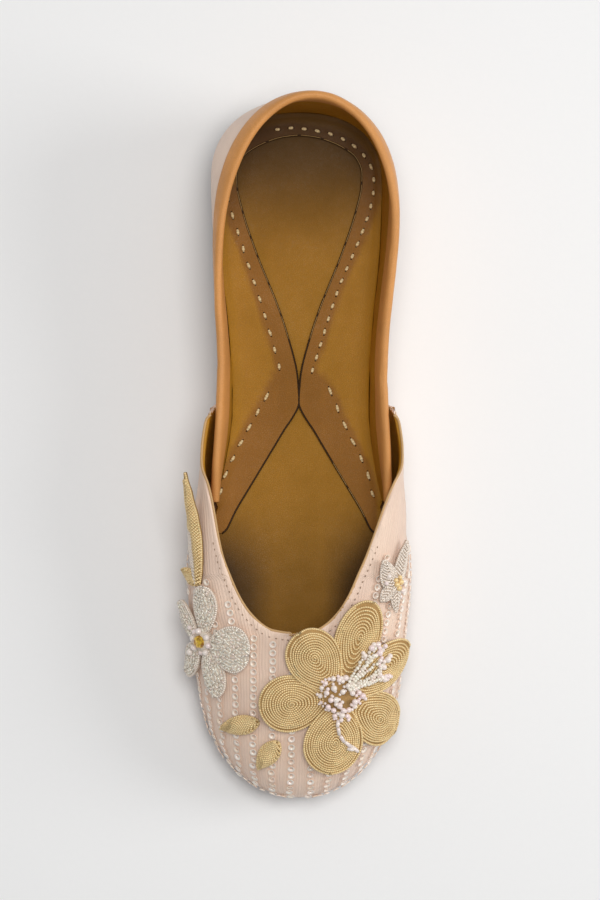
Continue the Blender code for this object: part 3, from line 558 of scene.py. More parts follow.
def stacked_heel():
    """Dark stacked lift with a rubber top piece: matte, in thin layers, a little dusty."""
    base = tuple(colours().heel)
    made, tree, shader = new_material("stacked_lift", Roughness=0.7)
    place = place_of(tree)
    layers = cloud(tree, place, 1.0 * MM, 3, (0.05, 0.05, 1.6), 0.6)
    dust = cloud(tree, place, 5 * MM, 5, None, 0.65)
    colour = blend(tree, spread(tree, layers, 0.35, 0.65), shade(base, 0.6), shade(base, 1.1))
    colour = blend(tree, spread(tree, dust, 0.5, 0.8, 0, 0.35), colour, shade(base, 2.0))
    join(tree, shader, "Base Color", colour)
    relief(tree, shader, [(layers, 0.15 * MM), (dust, 0.1 * MM)])
    return made


def coiled_metal(name, base, dark, pitch, roughness=0.42, metallic=0.3):
    """Dabka: fine gilt wire wound into a springy cord. Each turn of wire, 0.2 mm in the real cord, is
    drawn 0.8 mm long so that its sparkle shows."""
    made, tree, shader = new_material(name, Roughness=roughness, Metallic=metallic)
    place = place_of(tree)
    along = add(tree, "ShaderNodeAttribute", attribute_name="along").outputs["Fac"]
    turns = wave(tree, along, pitch)
    tarnish = cloud(tree, place, 4 * MM, 4, None, 0.6)
    glint = cloud(tree, place, 0.9 * MM, 3, None, 0.7)
    # Darker in the grooves between the turns: painted shade. The lighter glint patches below are painted
    # highlights.
    colour = blend(tree, spread(tree, turns, -1, 0.6, 0.55, 0), base, dark)
    colour = blend(tree, spread(tree, tarnish, 0.45, 0.75, 0, 0.40), colour, dark)
    colour = blend(tree, spread(tree, glint, 0.56, 0.72, 0, 0.65), colour, shade(base, 1.25))
    join(tree, shader, "Base Color", colour)
    join(tree, shader, "Roughness", spread(tree, glint, 0.35, 0.7, roughness + 0.12, roughness - 0.08))
    relief(tree, shader, [(turns, 0.10 * MM), (glint, 0.06 * MM)])
    return made


def gold_dabka():
    base = tuple(colours().gold)
    return coiled_metal("gilt_dabka", base, linear("CDA96E"), 0.8 * MM)


def silver_dabka():
    base = tuple(colours().silver)
    return coiled_metal("silvered_dabka", base, linear("DCCBBB"), 0.8 * MM, 0.36, 0.25)


def petal_felt(name, base):
    """Felt padding under the cord, seen as dark lines between its turns."""
    made, tree, shader = new_material(name, Roughness=0.9)
    fuzz = cloud(tree, place_of(tree), 0.6 * MM, 4, None, 0.7)
    join(tree, shader, "Base Color", blend(tree, fuzz, shade(base, 0.7), shade(base, 1.2)))
    relief(tree, shader, [(fuzz, 0.2 * MM)])
    return made


def cut_glass_beads():
    """Silver-lined glass, cut to short tubes: bright, each piece a little lighter, warmer or darker."""
    base = tuple(colours().silver)
    made, tree, shader = new_material("silver_lined_glass", Roughness=0.26, Metallic=0.05)
    shader.inputs["Coat Weight"].default_value = 0.6
    shader.inputs["Coat Roughness"].default_value = 0.1
    place = place_of(tree)
    piece = add(tree, "ShaderNodeAttribute", attribute_name="piece").outputs["Fac"]
    streak = cloud(tree, place, 0.7 * MM, 3, None, 0.7)
    colour = blend(tree, piece, shade(base, 0.84), shade(base, 1.12))
    colour = blend(tree, spread(tree, piece, 0.80, 0.90, 0, 0.7), colour, linear("F3D9CF"))
    colour = blend(tree, spread(tree, streak, 0.45, 0.7, 0, 0.35), colour, linear("9A8468"))
    join(tree, shader, "Base Color", colour)
    relief(tree, shader, [(streak, 0.06 * MM)])
    return made


def pearl_glass():
    """Glass pearls dipped in pearl essence: pinkish white, a soft deep gloss under a clear coat."""
    base = tuple(colours().pearl)
    made, tree, shader = new_material("dipped_glass_pearl", Roughness=0.32)
    shader.inputs["Coat Weight"].default_value = 0.8
    shader.inputs["Coat Roughness"].default_value = 0.12
    shader.inputs["Sheen Weight"].default_value = 0.3
    place = place_of(tree)
    piece = add(tree, "ShaderNodeAttribute", attribute_name="piece").outputs["Fac"]
    cloudy = cloud(tree, place, 1.0 * MM, 3)
    colour = blend(tree, piece, base, linear("F1D8D8"))
    colour = blend(tree, spread(tree, cloudy, 0.4, 0.7, 0, 0.25), colour, linear("FFF6E8"))
    join(tree, shader, "Base Color", colour)
    relief(tree, shader, [(cloudy, 0.03 * MM)])
    return made


def amber_glass():
    """Foil-backed cut glass: deep amber with bright facets, and patches of painted reflection from dark amber
    to bright yellow.
    """
    base = tuple(colours().stone)
    made, tree, shader = new_material("foiled_amber_glass", Roughness=0.08, Metallic=0.45)
    shader.inputs["Coat Weight"].default_value = 1.0
    shader.inputs["Coat Roughness"].default_value = 0.03
    painted_reflection_and_ripple = cloud(tree, place_of(tree), 1.3 * MM, 2)
    # Painted reflection: patches from dark amber to bright yellow, also used as a faint ripple.
    colour = blend(tree, spread(tree, painted_reflection_and_ripple, 0.40, 0.60), shade(base, 0.55), linear("F2C63A"))
    join(tree, shader, "Base Color", colour)
    relief(tree, shader, [(painted_reflection_and_ripple, 0.03 * MM)])
    return made


def sequin_plastic():
    """Pearlised film punched to cupped rings: glossy, warm white with a hint of gold and rose."""
    made, tree, shader = new_material("pearlised_sequin_film", Roughness=0.3)
    shader.inputs["Coat Weight"].default_value = 0.7
    shader.inputs["Coat Roughness"].default_value = 0.06
    piece = add(tree, "ShaderNodeAttribute", attribute_name="piece").outputs["Fac"]
    tint = cloud(tree, place_of(tree), 1.6 * MM, 2)
    colour = blend(tree, piece, linear("FFF8EC"), linear("F4E0C8"))
    colour = blend(tree, spread(tree, tint, 0.4, 0.7, 0, 0.5), colour, linear("F4D8D4"))
    join(tree, shader, "Base Color", colour)
    relief(tree, shader, [(tint, 0.05 * MM)])
    return made


def spun_thread(name, base, pitch):
    """Waxed cotton thread: two plies twisted, matte."""
    made, tree, shader = new_material(name, Roughness=0.7)
    along = add(tree, "ShaderNodeAttribute", attribute_name="along").outputs["Fac"]
    twist = wave(tree, along, pitch)
    fuzz = cloud(tree, place_of(tree), 0.5 * MM, 3, None, 0.7)
    # Darker in the groove between the plies: painted shade.
    colour = blend(tree, spread(tree, twist, -1, 0.3, 0.45, 0), base, shade(base, 0.5))
    colour = blend(tree, spread(tree, fuzz, 0.5, 0.8, 0, 0.4), colour, shade(base, 1.25))
    join(tree, shader, "Base Color", colour)
    relief(tree, shader, [(twist, 0.10 * MM), (fuzz, 0.05 * MM)])
    return made


def studio_floor():
    """Matte painted paper sweep with the faintest tooth."""
    base = tuple(colours().floor)
    made, tree, shader = new_material("paper_sweep", Roughness=0.95)
    shader.inputs["Specular IOR Level"].default_value = 0.1
    tooth = cloud(tree, place_of(tree), 2 * MM, 3)
    join(tree, shader, "Base Color", blend(tree, tooth, base, shade(base, 0.985)))
    relief(tree, shader, [(tooth, 0.02 * MM)])
    return made


# Meshes.


def link(name, data, *materials):
    """A new object at the origin, with its materials."""
    made = bpy.data.objects.new(name, data)
    bpy.context.scene.collection.objects.link(made)
    for material in materials:
        data.materials.append(material)
    return made


def evaluated(thing):
    """A new mesh of an object as its modifiers leave it."""
    bpy.context.view_layer.update()
    graph = bpy.context.evaluated_depsgraph_get()
    return bpy.data.meshes.new_from_object(thing.evaluated_get(graph))


def from_bmesh(name, mesh, *materials, smooth=True):
    data = bpy.data.meshes.new(name)
    mesh.to_mesh(data)
    mesh.free()
    if smooth:
        data.shade_smooth()
    return link(name, data, *materials)


def merged(node):
    """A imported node's mesh as a bmesh, its loose triangles joined into one skin of quads."""
    mesh = bmesh.new()
    mesh.from_mesh(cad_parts[node].data)
    bmesh.ops.remove_doubles(mesh, verts=mesh.verts, dist=WELD)
    wide = math.radians(70)
    bmesh.ops.join_triangles(
        mesh, faces=mesh.faces, angle_face_threshold=math.radians(60), angle_shape_threshold=wide
    )
    return mesh


def smooth_copy(node, name, levels, sharp, crease, *materials):
    """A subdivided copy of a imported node. Edges sharper than an angle keep part of their crease."""
    mesh = merged(node)
    layer = mesh.edges.layers.float.new("crease_edge")
    for edge in mesh.edges:
        if edge.calc_face_angle(0) > sharp:
            edge[layer] = crease
    rough = from_bmesh(name, mesh)
    divide = rough.modifiers.new("divide", "SUBSURF")
    divide.levels = levels
    divide.render_levels = levels
    data = evaluated(rough)
    bpy.data.objects.remove(rough)
    data.shade_smooth()
    return link(name, data, *materials)


def keep_sharp(thing, angle):
    thing.data.set_sharp_from_angle(angle=math.radians(angle))


def crease_depth(point, crease):
    """How deep a crease presses at a point."""
    start, middle, end = (Vector(crease[key]) * MM for key in ("start", "middle", "end"))
    nearest = 1.0
    steps = 8
    for i in range(steps + 1):
        t = i / steps
        bow = start.lerp(end, t) + (middle - (start + end) / 2) * 4 * t * (1 - t)
        fade = 1 - 0.6 * abs(2 * t - 1) ** 3
        nearest = min(nearest, (point - bow).length / fade)
    return crease["depth"] * MM * math.exp(-((nearest / (crease["width"] * MM)) ** 2))


def press_creases(thing, piece, ripple=0.0, ripple_size=14 * MM):
    """Moves a skin in and out along its normals by the piece's creases and a soft unevenness."""
    own = [row for row in rows_of(CREASES) if row["piece"] == piece]
    moves = []
    for vert in thing.data.vertices:
        depth = sum(crease_depth(vert.co, row) for row in own)
        uneven = noise.noise(vert.co / ripple_size) * ripple
        outwards = 1 if outside(vert.co, vert.normal) else -1
        moves.append(vert.co - vert.normal * outwards * (depth - uneven))
    for vert, place in zip(thing.data.vertices, moves):
        vert.co = place


def inner_point(point):
    """A point inside the shoe that a wall is seen from."""
    return Vector((CENTRE_X, min(max(point.y, -80 * MM), 80 * MM), AXIS_HEIGHT))


def outside(point, normal):
    """Whether a wall's skin faces out of the shoe."""
    return normal.dot(point - inner_point(point)) > 0


class Rim:
    """A shell's free edge, which parts its outer face from its inner one. Behind WING_Y its two sides run
    straight back as wings."""

    NEAR = 2.5 * MM
    WING_Y = -10 * MM

    def __init__(self, node, limit):
        self.line = smooth_line(rim_line(node, limit), 1.2 * MM)
        self.tree = KDTree(len(self.line))
        for i, point in enumerate(self.line):
            self.tree.insert(point, i)
        self.tree.balance()

    def outer(self, point, normal):
        """Whether a place of the shell lies on its outer side."""
        ridge, _, away = self.tree.find(point)
        if away > self.NEAR:
            return outside(point, normal)
        out = Vector((ridge.x - CENTRE_X, min(ridge.y - self.WING_Y, 0), 0))
        return (point - ridge).dot(out.normalized()) > 0


def face_materials(thing, choose):
    for face in thing.data.polygons:
        face.material_index = choose(face.center, face.normal)


def number_attribute(data, name, values):
    layer = data.attributes.new(name, "FLOAT", "POINT")
    layer.data.foreach_set("value", values)


def cubic(a, b, c, d, t):
    """A point on the smooth curve between the middle two of four points."""
    square = a * 2 - b * 5 + c * 4 - d
    cube = b * 3 - a - c * 3 + d
    return (b * 2 + (c - a) * t + square * t * t + cube * t**3) / 2


def smooth_line(points, step, closed=False):
    """Points a step apart on a smooth curve through given points."""
    points = [Vector(point) for point in points]
    count = len(points)
    spans = count if closed else count - 1
    fine = []
    for i in range(spans):
        if closed:
            a, b, c, d = (points[(i + k) % count] for k in (-1, 0, 1, 2))
        else:
            b, c = points[i], points[i + 1]
            a = points[i - 1] if i else b * 2 - c
            d = points[i + 2] if i + 2 < count else c * 2 - b
        pieces = max(int((c - b).length / step * 2), 2)
        for k in range(pieces):
            fine.append(cubic(a, b, c, d, k / pieces))
    if not closed:
        fine.append(points[-1])
    return spaced(fine, step)


def spaced(points, step):
    """Points an even step apart along a line, its end kept."""
    total = sum((b - a).length for a, b in zip(points, points[1:]))
    count = max(round(total / step), 2)
    even = total / count
    kept = [points[0]]
    need = even
    for a, b in zip(points, points[1:]):
        length = (b - a).length
        while length > 0 and need <= length + 1e-9 and len(kept) < count:
            kept.append(a.lerp(b, need / length))
            need += even
        need -= length
    kept.append(points[-1])
    return kept


def cord(name, lines, radius, material, sides=6, closed=False, taper=False):
    """Round cords along lines of points, as one welded mesh with the length along each in "along"."""
    data = bpy.data.curves.new(name, "CURVE")
    data.dimensions = "3D"
    data.bevel_depth = radius
    data.bevel_resolution = (sides - 4) // 2
    data.use_fill_caps = not closed
    tree = KDTree(sum(len(line) for line in lines))
    lengths = []
    for line in lines:
        spline = data.splines.new("POLY")
        spline.points.add(len(line) - 1)
        spline.use_cyclic_u = closed
        total = 0.0
        for i, point in enumerate(line):
            spline.points[i].co = (*point, 1)
            if taper:
                spline.points[i].radius = max(math.sin(math.pi * (i + 0.5) / len(line)), 0.3) ** 0.5
            total += (point - line[i - 1]).length if i else 0.0
            tree.insert(point, len(lengths))
            lengths.append(total)
    tree.balance()
    rough = bpy.data.objects.new(name, data)
    bpy.context.scene.collection.objects.link(rough)
    mesh = bmesh.new()
    tube = evaluated(rough)
    mesh.from_mesh(tube)
    bpy.data.meshes.remove(tube)
    bpy.data.objects.remove(rough)
    bpy.data.curves.remove(data)
    bmesh.ops.remove_doubles(mesh, verts=mesh.verts, dist=WELD)
    made = from_bmesh(name, mesh, material)
    number_attribute(made.data, "along", [lengths[tree.find(vert.co)[1]] for vert in made.data.vertices])
    return made


class Many:
    """Many small shapes gathered into one mesh, each with its own number from 0 to 1 in "piece"."""

    def __init__(self):
        self.mesh = bmesh.new()
        self.piece = self.mesh.verts.layers.float.new("piece")
        self.random = random.Random(sizes().seed)

    def number(self, made):
        value = self.random.random()
        for vert in made["verts"]:
            vert[self.piece] = value

    def ball(self, centre, radius, out=Vector((0, 0, 1)), flat=1.0, around=10, high=7):
        frame_of = out.to_track_quat("Z", "Y").to_matrix().to_4x4()
        place = Matrix.Translation(centre) @ frame_of @ Matrix.Diagonal((1, 1, flat, 1))
        made = bmesh.ops.create_uvsphere(
            self.mesh, u_segments=around, v_segments=high, radius=radius, matrix=place
        )
        self.number(made)

    def tube(self, centre, along, length, radius, sides=6, end=0.8):
        """A short closed tube, a little narrower at its ends."""
        turned = along.to_track_quat("Z", "Y").to_matrix().to_4x4()
        half = length / 2
        for direction in (-1, 1):
            made = bmesh.ops.create_cone(
                self.mesh,
                cap_ends=True,
                segments=sides,
                radius1=radius,
                radius2=radius * end,
                depth=half,
                matrix=Matrix.Translation(centre + along * direction * half / 2)
                @ turned
                @ Matrix.Diagonal((1, 1, direction, 1)),
            )
            self.number(made)

    def finish(self, name, material, smooth=True):
        bmesh.ops.remove_doubles(self.mesh, verts=self.mesh.verts, dist=WELD)
        bmesh.ops.recalc_face_normals(self.mesh, faces=self.mesh.faces)
        return from_bmesh(name, self.mesh, material, smooth=smooth)


def dress(thing, slot, *replaced):
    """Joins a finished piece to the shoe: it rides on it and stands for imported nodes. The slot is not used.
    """
    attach(thing, "root")
    if replaced:
        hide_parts(*replaced)


# The vamp's outer face, for laying trim on.


def tree_of(*nodes):
    """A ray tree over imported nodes."""
    verts = []
    faces = []
    for node in nodes:
        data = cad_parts[node].data
        start = len(verts)
        verts += [vert.co.copy() for vert in data.vertices]
        faces += [[start + i for i in face.vertices] for face in data.polygons]
    return BVHTree.FromPolygons(verts, faces)


class Chart:
    """The vamp's outer face measured across the panel: 0 on its middle line, growing to each side."""

    ROW = 2 * MM
    TURN = math.radians(2.5)
    REACH = math.radians(112)

    def __init__(self, tree):
        self.tree = tree
        self.first = VAMP_LOW[1] + self.ROW / 4
        self.count = int((VAMP_HIGH[1] - self.first) / self.ROW) + 1
        self.turns = int(self.REACH / self.TURN)
        self.rows = {side: [self.row(i, side) for i in range(self.count)] for side in (-1, 1)}
        self.settle()

    def row(self, i, side):
        """The face's points at one distance along the shoe, from its top down: (angle, point, normal)."""
        y = self.first + i * self.ROW
        axis = Vector((CENTRE_X, y, AXIS_HEIGHT))
        found = []
        for k in range(self.turns + 1):
            angle = k * self.TURN
            ray = Vector((side * math.sin(angle), 0, math.cos(angle)))
            hit = self.tree.ray_cast(axis + ray * AXIS_REACH, -ray, AXIS_REACH - 2 * MM)
            if hit[0]:
                found.append((angle, hit[0], hit[1]))
        return found

    def settle(self):
        """Works out each row's distances across: from the middle line ahead of the throat, and behind it
        from the foot, so that the two agree where they meet."""
        self.across = {}
        for side in (-1, 1):
            rows = self.rows[side]
            whole = 0.0
            for i, row in enumerate(rows):
                lengths = [0.0]
                for a, b in zip(row, row[1:]):
                    lengths.append(lengths[-1] + (b[1] - a[1]).length)
                open_top = not row or row[0][0] > self.TURN * 1.5
                if not open_top:
                    whole = lengths[-1]
                start = whole - lengths[-1] if open_top else 0.0
                self.across[side, i] = [start + length for length in lengths]

    def place(self, across, y):
        """(point, normal) of the outer face, or None where the panel has none there."""
        side = 1 if across >= 0 else -1
        i = min(max(round((y - self.first) / self.ROW), 0), self.count - 1)
        row, lengths = self.rows[side][i], self.across[side, i]
        wanted = abs(across)
        if not row or wanted < lengths[0] or wanted > lengths[-1]:
            return None
        for k in range(len(row) - 1):
            if lengths[k] <= wanted <= lengths[k + 1] and lengths[k + 1] > lengths[k]:
                t = (wanted - lengths[k]) / (lengths[k + 1] - lengths[k])
                angle = row[k][0] + (row[k + 1][0] - row[k][0]) * t
                axis = Vector((CENTRE_X, y, AXIS_HEIGHT))
                ray = Vector((side * math.sin(angle), 0, math.cos(angle)))
                hit = self.tree.ray_cast(axis + ray * AXIS_REACH, -ray, AXIS_REACH - 2 * MM)
                return (hit[0], hit[1]) if hit[0] else None
        return None

    def across_at(self, point):
        """The distance across the panel at a point near it."""
        side = 1 if point.x >= CENTRE_X else -1
        angle = abs(math.atan2(point.x - CENTRE_X, point.z - AXIS_HEIGHT))
        place = min(max((point.y - self.first) / self.ROW, 0), self.count - 1.001)
        i = int(place)
        values = []
        for j in (i, i + 1):
            row, lengths = self.rows[side][j], self.across[side, j]
            if not row:
                continue
            value = lengths[0] if angle <= row[0][0] else lengths[-1]
            for k in range(len(row) - 1):
                if row[k][0] <= angle <= row[k + 1][0]:
                    t = (angle - row[k][0]) / (row[k + 1][0] - row[k][0])
                    value = lengths[k] + (lengths[k + 1] - lengths[k]) * t
            values.append(value)
        if not values:
            return 0.0
        t = place - i if len(values) == 2 else 0
        return side * (values[0] + (values[-1] - values[0]) * t)


class Spot:
    """A place on the vamp: its point and the directions ahead, across and out of it."""

    def __init__(self, point, ahead, out):
        self.point = point
        self.out = out
        self.ahead = (ahead - out * ahead.dot(out)).normalized()
        self.across = out.cross(self.ahead)

    def direction(self, turn):
        return self.ahead * math.cos(turn) + self.across * math.sin(turn)


class Ground:
    """What a motif lies on, seen against a direction out of the shoe."""

    SPREAD = 3 * MM
    FROM = 20 * MM
    ABOVE = 12 * MM
    DROP = 5 * MM

    def __init__(self, tree):
        self.tree = tree

    def spot(self, place, out, ahead):
        side = out.cross(ahead).normalized()
        hits = []
        for step in (Vector(), ahead, -ahead, side, -side):
            hit = self.tree.ray_cast(place + step * self.SPREAD + out * self.FROM, -out)
            if hit[0]:
                hits.append(hit)
        smooth = sum((hit[1] for hit in hits), Vector()).normalized()
        return Spot(hits[0][0], ahead, smooth)

    def height(self, place, out, otherwise):
        hit = self.tree.ray_cast(place + out * self.ABOVE, -out)
        if not hit[0] or hit[3] - self.ABOVE > self.DROP:
            return otherwise
        return self.ABOVE - hit[3]

    def plan_spot(self, x, y):
        place = Vector((x * MM, y * MM, VAMP_HIGH[2]))
        return self.spot(place, Vector((0, 0, 1)), Vector((1, 0, 0)))


GROUND = Ground(tree_of("vamp"))
SEAT = 0.6 * MM


def petal_half_width(share):
    """A petal's half width along its length, as a share of the whole: a narrow root and a round end."""
    widest = 0.58
    if share < widest:
        return 0.5 - 0.36 * (1 - share / widest) ** 2
    return 0.5 * math.sqrt(max(1 - ((share - widest) / (1 - widest)) ** 2, 0))


def leaf_half_width(share):
    """A leaf's half width along its length: widest near its root, with a point."""
    return 0.5 * max(math.sin(math.pi * share**0.8), 0) ** 0.85


class Pad:
    """The padded upper face of one petal or leaf: place(u, v) for u from root to tip and v across."""

    LINES = 22
    COLUMNS = 12

    def __init__(self, spot, length, width, half_width, thickness, lift, seat, ripple=0.0):
        self.spot = spot
        self.length = length
        self.width = width
        self.half_width = half_width
        self.thickness = thickness
        self.lift = lift
        self.seat = seat
        self.ripple = ripple
        self.ground = []
        before = [0.0] * (self.COLUMNS + 1)
        for i in range(self.LINES + 1):
            u = i / self.LINES
            half = half_width(min(max(u, 0.03), 0.97)) * width
            for j in range(self.COLUMNS + 1):
                v = j / self.COLUMNS * 2 - 1
                flat = spot.point + spot.ahead * (u - 0.5) * length + spot.across * half * v
                before[j] = GROUND.height(flat, spot.out, before[j])
            self.ground.append(list(before))

    def ground_at(self, u, v):
        a = min(max(u, 0), 0.9999) * self.LINES
        b = min(max((v + 1) / 2, 0), 0.9999) * self.COLUMNS
        i, j = int(a), int(b)
        s, t = a - i, b - j
        low = self.ground[i][j] * (1 - t) + self.ground[i][j + 1] * t
        high = self.ground[i + 1][j] * (1 - t) + self.ground[i + 1][j + 1] * t
        return low * (1 - s) + high * s

    def place(self, u, v):
        half = self.half_width(min(max(u, 0), 1)) * self.width
        rise = self.ground_at(u, v) + self.seat + self.lift * u * u
        rise += self.thickness * (1 - 0.45 * v * v)
        if self.ripple:
            rise += self.ripple * math.sin(5 * v + 3 * u) * u
        flat = self.spot.point + self.spot.ahead * (u - 0.5) * self.length + self.spot.across * half * v
        return flat + self.spot.out * rise

    def at(self, along, across):
        """The upper face at distances along and across the petal from its root's middle."""
        u = min(max(along / self.length, 0), 1)
        half = max(self.half_width(u) * self.width, 0.2 * MM)
        return self.place(u, min(max(across / half, -1.08), 1.08))

    def add_to(self, mesh):
        """The pad itself: a domed grid with a rolled edge, closed below."""
        made = bmesh.ops.create_grid(mesh, x_segments=16, y_segments=10, size=1)
        verts = made["verts"]
        for vert in verts:
            u = (vert.co.x + 1) / 2
            u = 0.02 + 0.965 * math.sin(math.pi / 2 * u)
            vert.co = self.place(u, vert.co.y * 0.99)
        faces = list({face for vert in verts for face in vert.link_faces})
        top = bmesh.ops.extrude_face_region(mesh, geom=faces)
        lower = [item for item in top["geom"] if isinstance(item, bmesh.types.BMVert)]
        bmesh.ops.translate(mesh, verts=lower, vec=-self.spot.out * self.thickness * 0.55)


def petal_pads(place, petals, root, thickness, lift, layer):
    """The pads of a flower, in the order of its petals."""
    centre = GROUND.plan_spot(*place)
    pads = []
    for petal in rows_of(petals):
        ahead = centre.direction(math.radians(petal["turn"]))
        tip = (petal["reach"] + petal["length"] / 2) * MM
        spot = GROUND.spot(centre.point + ahead * (tip + root) / 2, centre.out, ahead)
        seat = SEAT + layer * petal["layer"]
        width = petal["width"] * MM
        pads.append(Pad(spot, tip - root, width, petal_half_width, thickness, lift, seat, 0.25 * MM))
    return centre, pads


def pads_piece(name, pads, material, core=None):
    """The felt pads of a motif as one mesh, with the core they are sewn to."""
    mesh = bmesh.new()
    for pad in pads:
        pad.add_to(mesh)
    if core:
        spot, radius, height = core
        level = spot.out.to_track_quat("Z", "Y").to_matrix().to_4x4()
        bmesh.ops.create_cone(
            mesh,
            cap_ends=True,
            segments=24,
            radius1=radius,
            radius2=radius * 0.8,
            depth=height,
            matrix=Matrix.Translation(spot.point + spot.out * height / 2) @ level,
        )
    bmesh.ops.recalc_face_normals(mesh, faces=mesh.faces)
    return from_bmesh(name, mesh, material)


def reach_at(pad, centre, angle):
    """How far a petal's outline lies from its eye, in a direction in the petal's plane."""
    low, high = 0.0, max(pad.length, pad.width)
    for _ in range(18):
        middle = (low + high) / 2
        along = centre + math.cos(angle) * middle
        across = math.sin(angle) * middle
        u = along / pad.length
        inside = 0 < u < 1 and abs(across) < pad.half_width(u) * pad.width
        low, high = (middle, high) if inside else (low, middle)
    return low


def coil_lines(pad, pitch, radius, draw):
    """One petal's coil, wound from its eye to its outline, and the outline's own cord."""
    eye = pad.length * (0.57 + draw.uniform(-0.03, 0.03))
    samples = 72
    reach = [reach_at(pad, eye, 2 * math.pi * k / samples) for k in range(samples + 1)]

    def reach_to(angle):
        a = (angle / (2 * math.pi)) % 1 * samples
        k = int(a)
        return reach[k] + (reach[k + 1] - reach[k]) * (a - k)

    turns = max(round(pad.width / 2 / pitch), 3)
    coil = []
    angle = draw.uniform(0, 2 * math.pi)
    done = 0.0
    while done < turns - 0.9:
        share = 1 - (done + 0.95) / turns
        wobble = 1 + 0.012 * math.sin(angle * 3 + done)
        distance = reach_to(angle) * share * wobble
        point = pad.at(eye + math.cos(angle) * distance, math.sin(angle) * distance)
        coil.append(point + pad.spot.out * radius * 0.45)
        step = min(max(0.62 * MM / max(distance, 0.5 * MM), math.radians(6)), math.radians(34))
        angle += step
        done += step / (2 * math.pi)
    rim = []
    for k in range(samples):
        angle = 2 * math.pi * k / samples
        distance = reach[k] - radius * 0.4
        point = pad.at(eye + math.cos(angle) * distance, math.sin(angle) * distance)
        rim.append(point + pad.spot.out * radius * 0.2)
    return coil, rim


def leaf_cords(pad, pitch, radius, slant):
    """Short cords laid side by side from a leaf's middle rib out to its edges: (left, right)."""
    sides = {-1: [], 1: []}
    count = max(int(pad.length * 0.94 / pitch), 4)
    for i in range(count):
        u = 0.03 + 0.90 * i / count
        for side in sides:
            line = []
            for k in range(4):
                v = side * (0.02 + 0.96 * k / 3)
                reach = min(u + slant * k / 3 * pad.half_width(u) * pad.width / pad.length, 0.985)
                line.append(pad.place(reach, v) + pad.spot.out * radius * (0.75 - 0.35 * (k / 3) ** 2))
            sides[side].append(line)
    return sides


def slant_cords(pad, pitch, radius, slant):
    """Cords laid side by side on the slant, each right over a leaf from edge to edge."""
    lines = []
    for i in range(-3, int(pad.length / pitch) + 3):
        line = []
        for k in range(9):
            v = k / 4 - 1
            u = i * pitch / pad.length
            u += slant * v * pad.half_width(min(max(u, 0.02), 0.98)) * pad.width / pad.length
            if 0.02 < u < 0.985:
                line.append(pad.place(u, v * 0.97) + pad.spot.out * radius * (0.75 - 0.35 * v * v))
        if len(line) > 2:
            lines.append(line)
    return lines


def leaf_border(pad, radius):
    """The cord round a leaf, from root to tip and back."""
    line = []
    count = 14
    for side in (-1, 1):
        run = []
        for i in range(count + 1):
            u = 0.02 + 0.965 * math.sin(math.pi / 2 * i / count)
            run.append(pad.place(u, side) + pad.spot.out * radius * 0.3)
        line += run if side < 0 else run[::-1]
    return smooth_line(line, 0.9 * MM, closed=True)


def leaf_pads(table):
    pads = []
    for leaf in rows_of(table):
        base = GROUND.plan_spot(leaf["x"], leaf["y"])
        ahead = base.direction(math.radians(leaf["turn"]))
        length = leaf["length"] * MM
        spot = GROUND.spot(base.point + ahead * length / 2, base.out, ahead)
        width = leaf["width"] * MM
        pads.append(Pad(spot, length, width, leaf_half_width, 1.4 * MM, leaf["lift"] * MM, SEAT))
    return pads


# Operators.


class MojariSole(Operator):
    """The burnished outsole, the heel lift and the insole"""

    bl_idname = "mojari.sole"
    bl_label = "Sole, heel lift and insole"

    def execute(self, context):
        turn = math.radians(35)
        outsole = smooth_copy("outsole", "outsole_leather", 2, turn, 0.9, sole_leather())
        keep_sharp(outsole, 38)
        dress(outsole, "sole_leather", "outsole")
        heel = smooth_copy("heel_lift", "heel_block", 2, turn, 0.9, stacked_heel())
        keep_sharp(heel, 38)
        dress(heel, "heel_rubber", "heel_lift")
        insole = smooth_copy("insole", "insole_cover", 3, turn, 0.8, insole_leather())
        press_creases(insole, "insole", 0.18 * MM, 20 * MM)
        number_attribute(insole.data, "deep", [self.shaded(vert.co) for vert in insole.data.vertices])
        keep_sharp(insole, 45)
        dress(insole, "brown_lining_leather", "insole")
        return {"FINISHED"}

    def shaded(self, point):
        """How far the leather's own colour is darkened to meet the photo's shaded heel seat and tread sides.
        The photo's dark there is mostly shade, which the stage's light doesn't give as deep."""
        heel = smooth_step(point.y, 62 * MM, 112 * MM)
        aside = smooth_step(abs(point.x - CENTRE_X), 9 * MM, 24 * MM)
        front = smooth_step(-point.y, 12 * MM, 52 * MM)
        return min(0.8 * heel + (0.7 * aside + 0.3) * front, 0.9)


def rim_line(node, limit):
    """The ridge of a shell's free edge, from its outer end round to its inner end."""
    mesh = merged(node)
    centre = Vector((CENTRE_X, -10 * MM))
    ridge = []
    for vert in mesh.verts:
        short = sum(1 for edge in vert.link_edges if edge.calc_length() < limit)
        if short >= 2 and vert.co.z > 20 * MM:
            away = vert.co.xy - centre
            ridge.append(((math.pi / 2 - math.atan2(away.y, away.x)) % (2 * math.pi), vert.co.copy()))
    mesh.free()
    return [point for _, point in sorted(ridge, key=lambda pair: pair[0])]


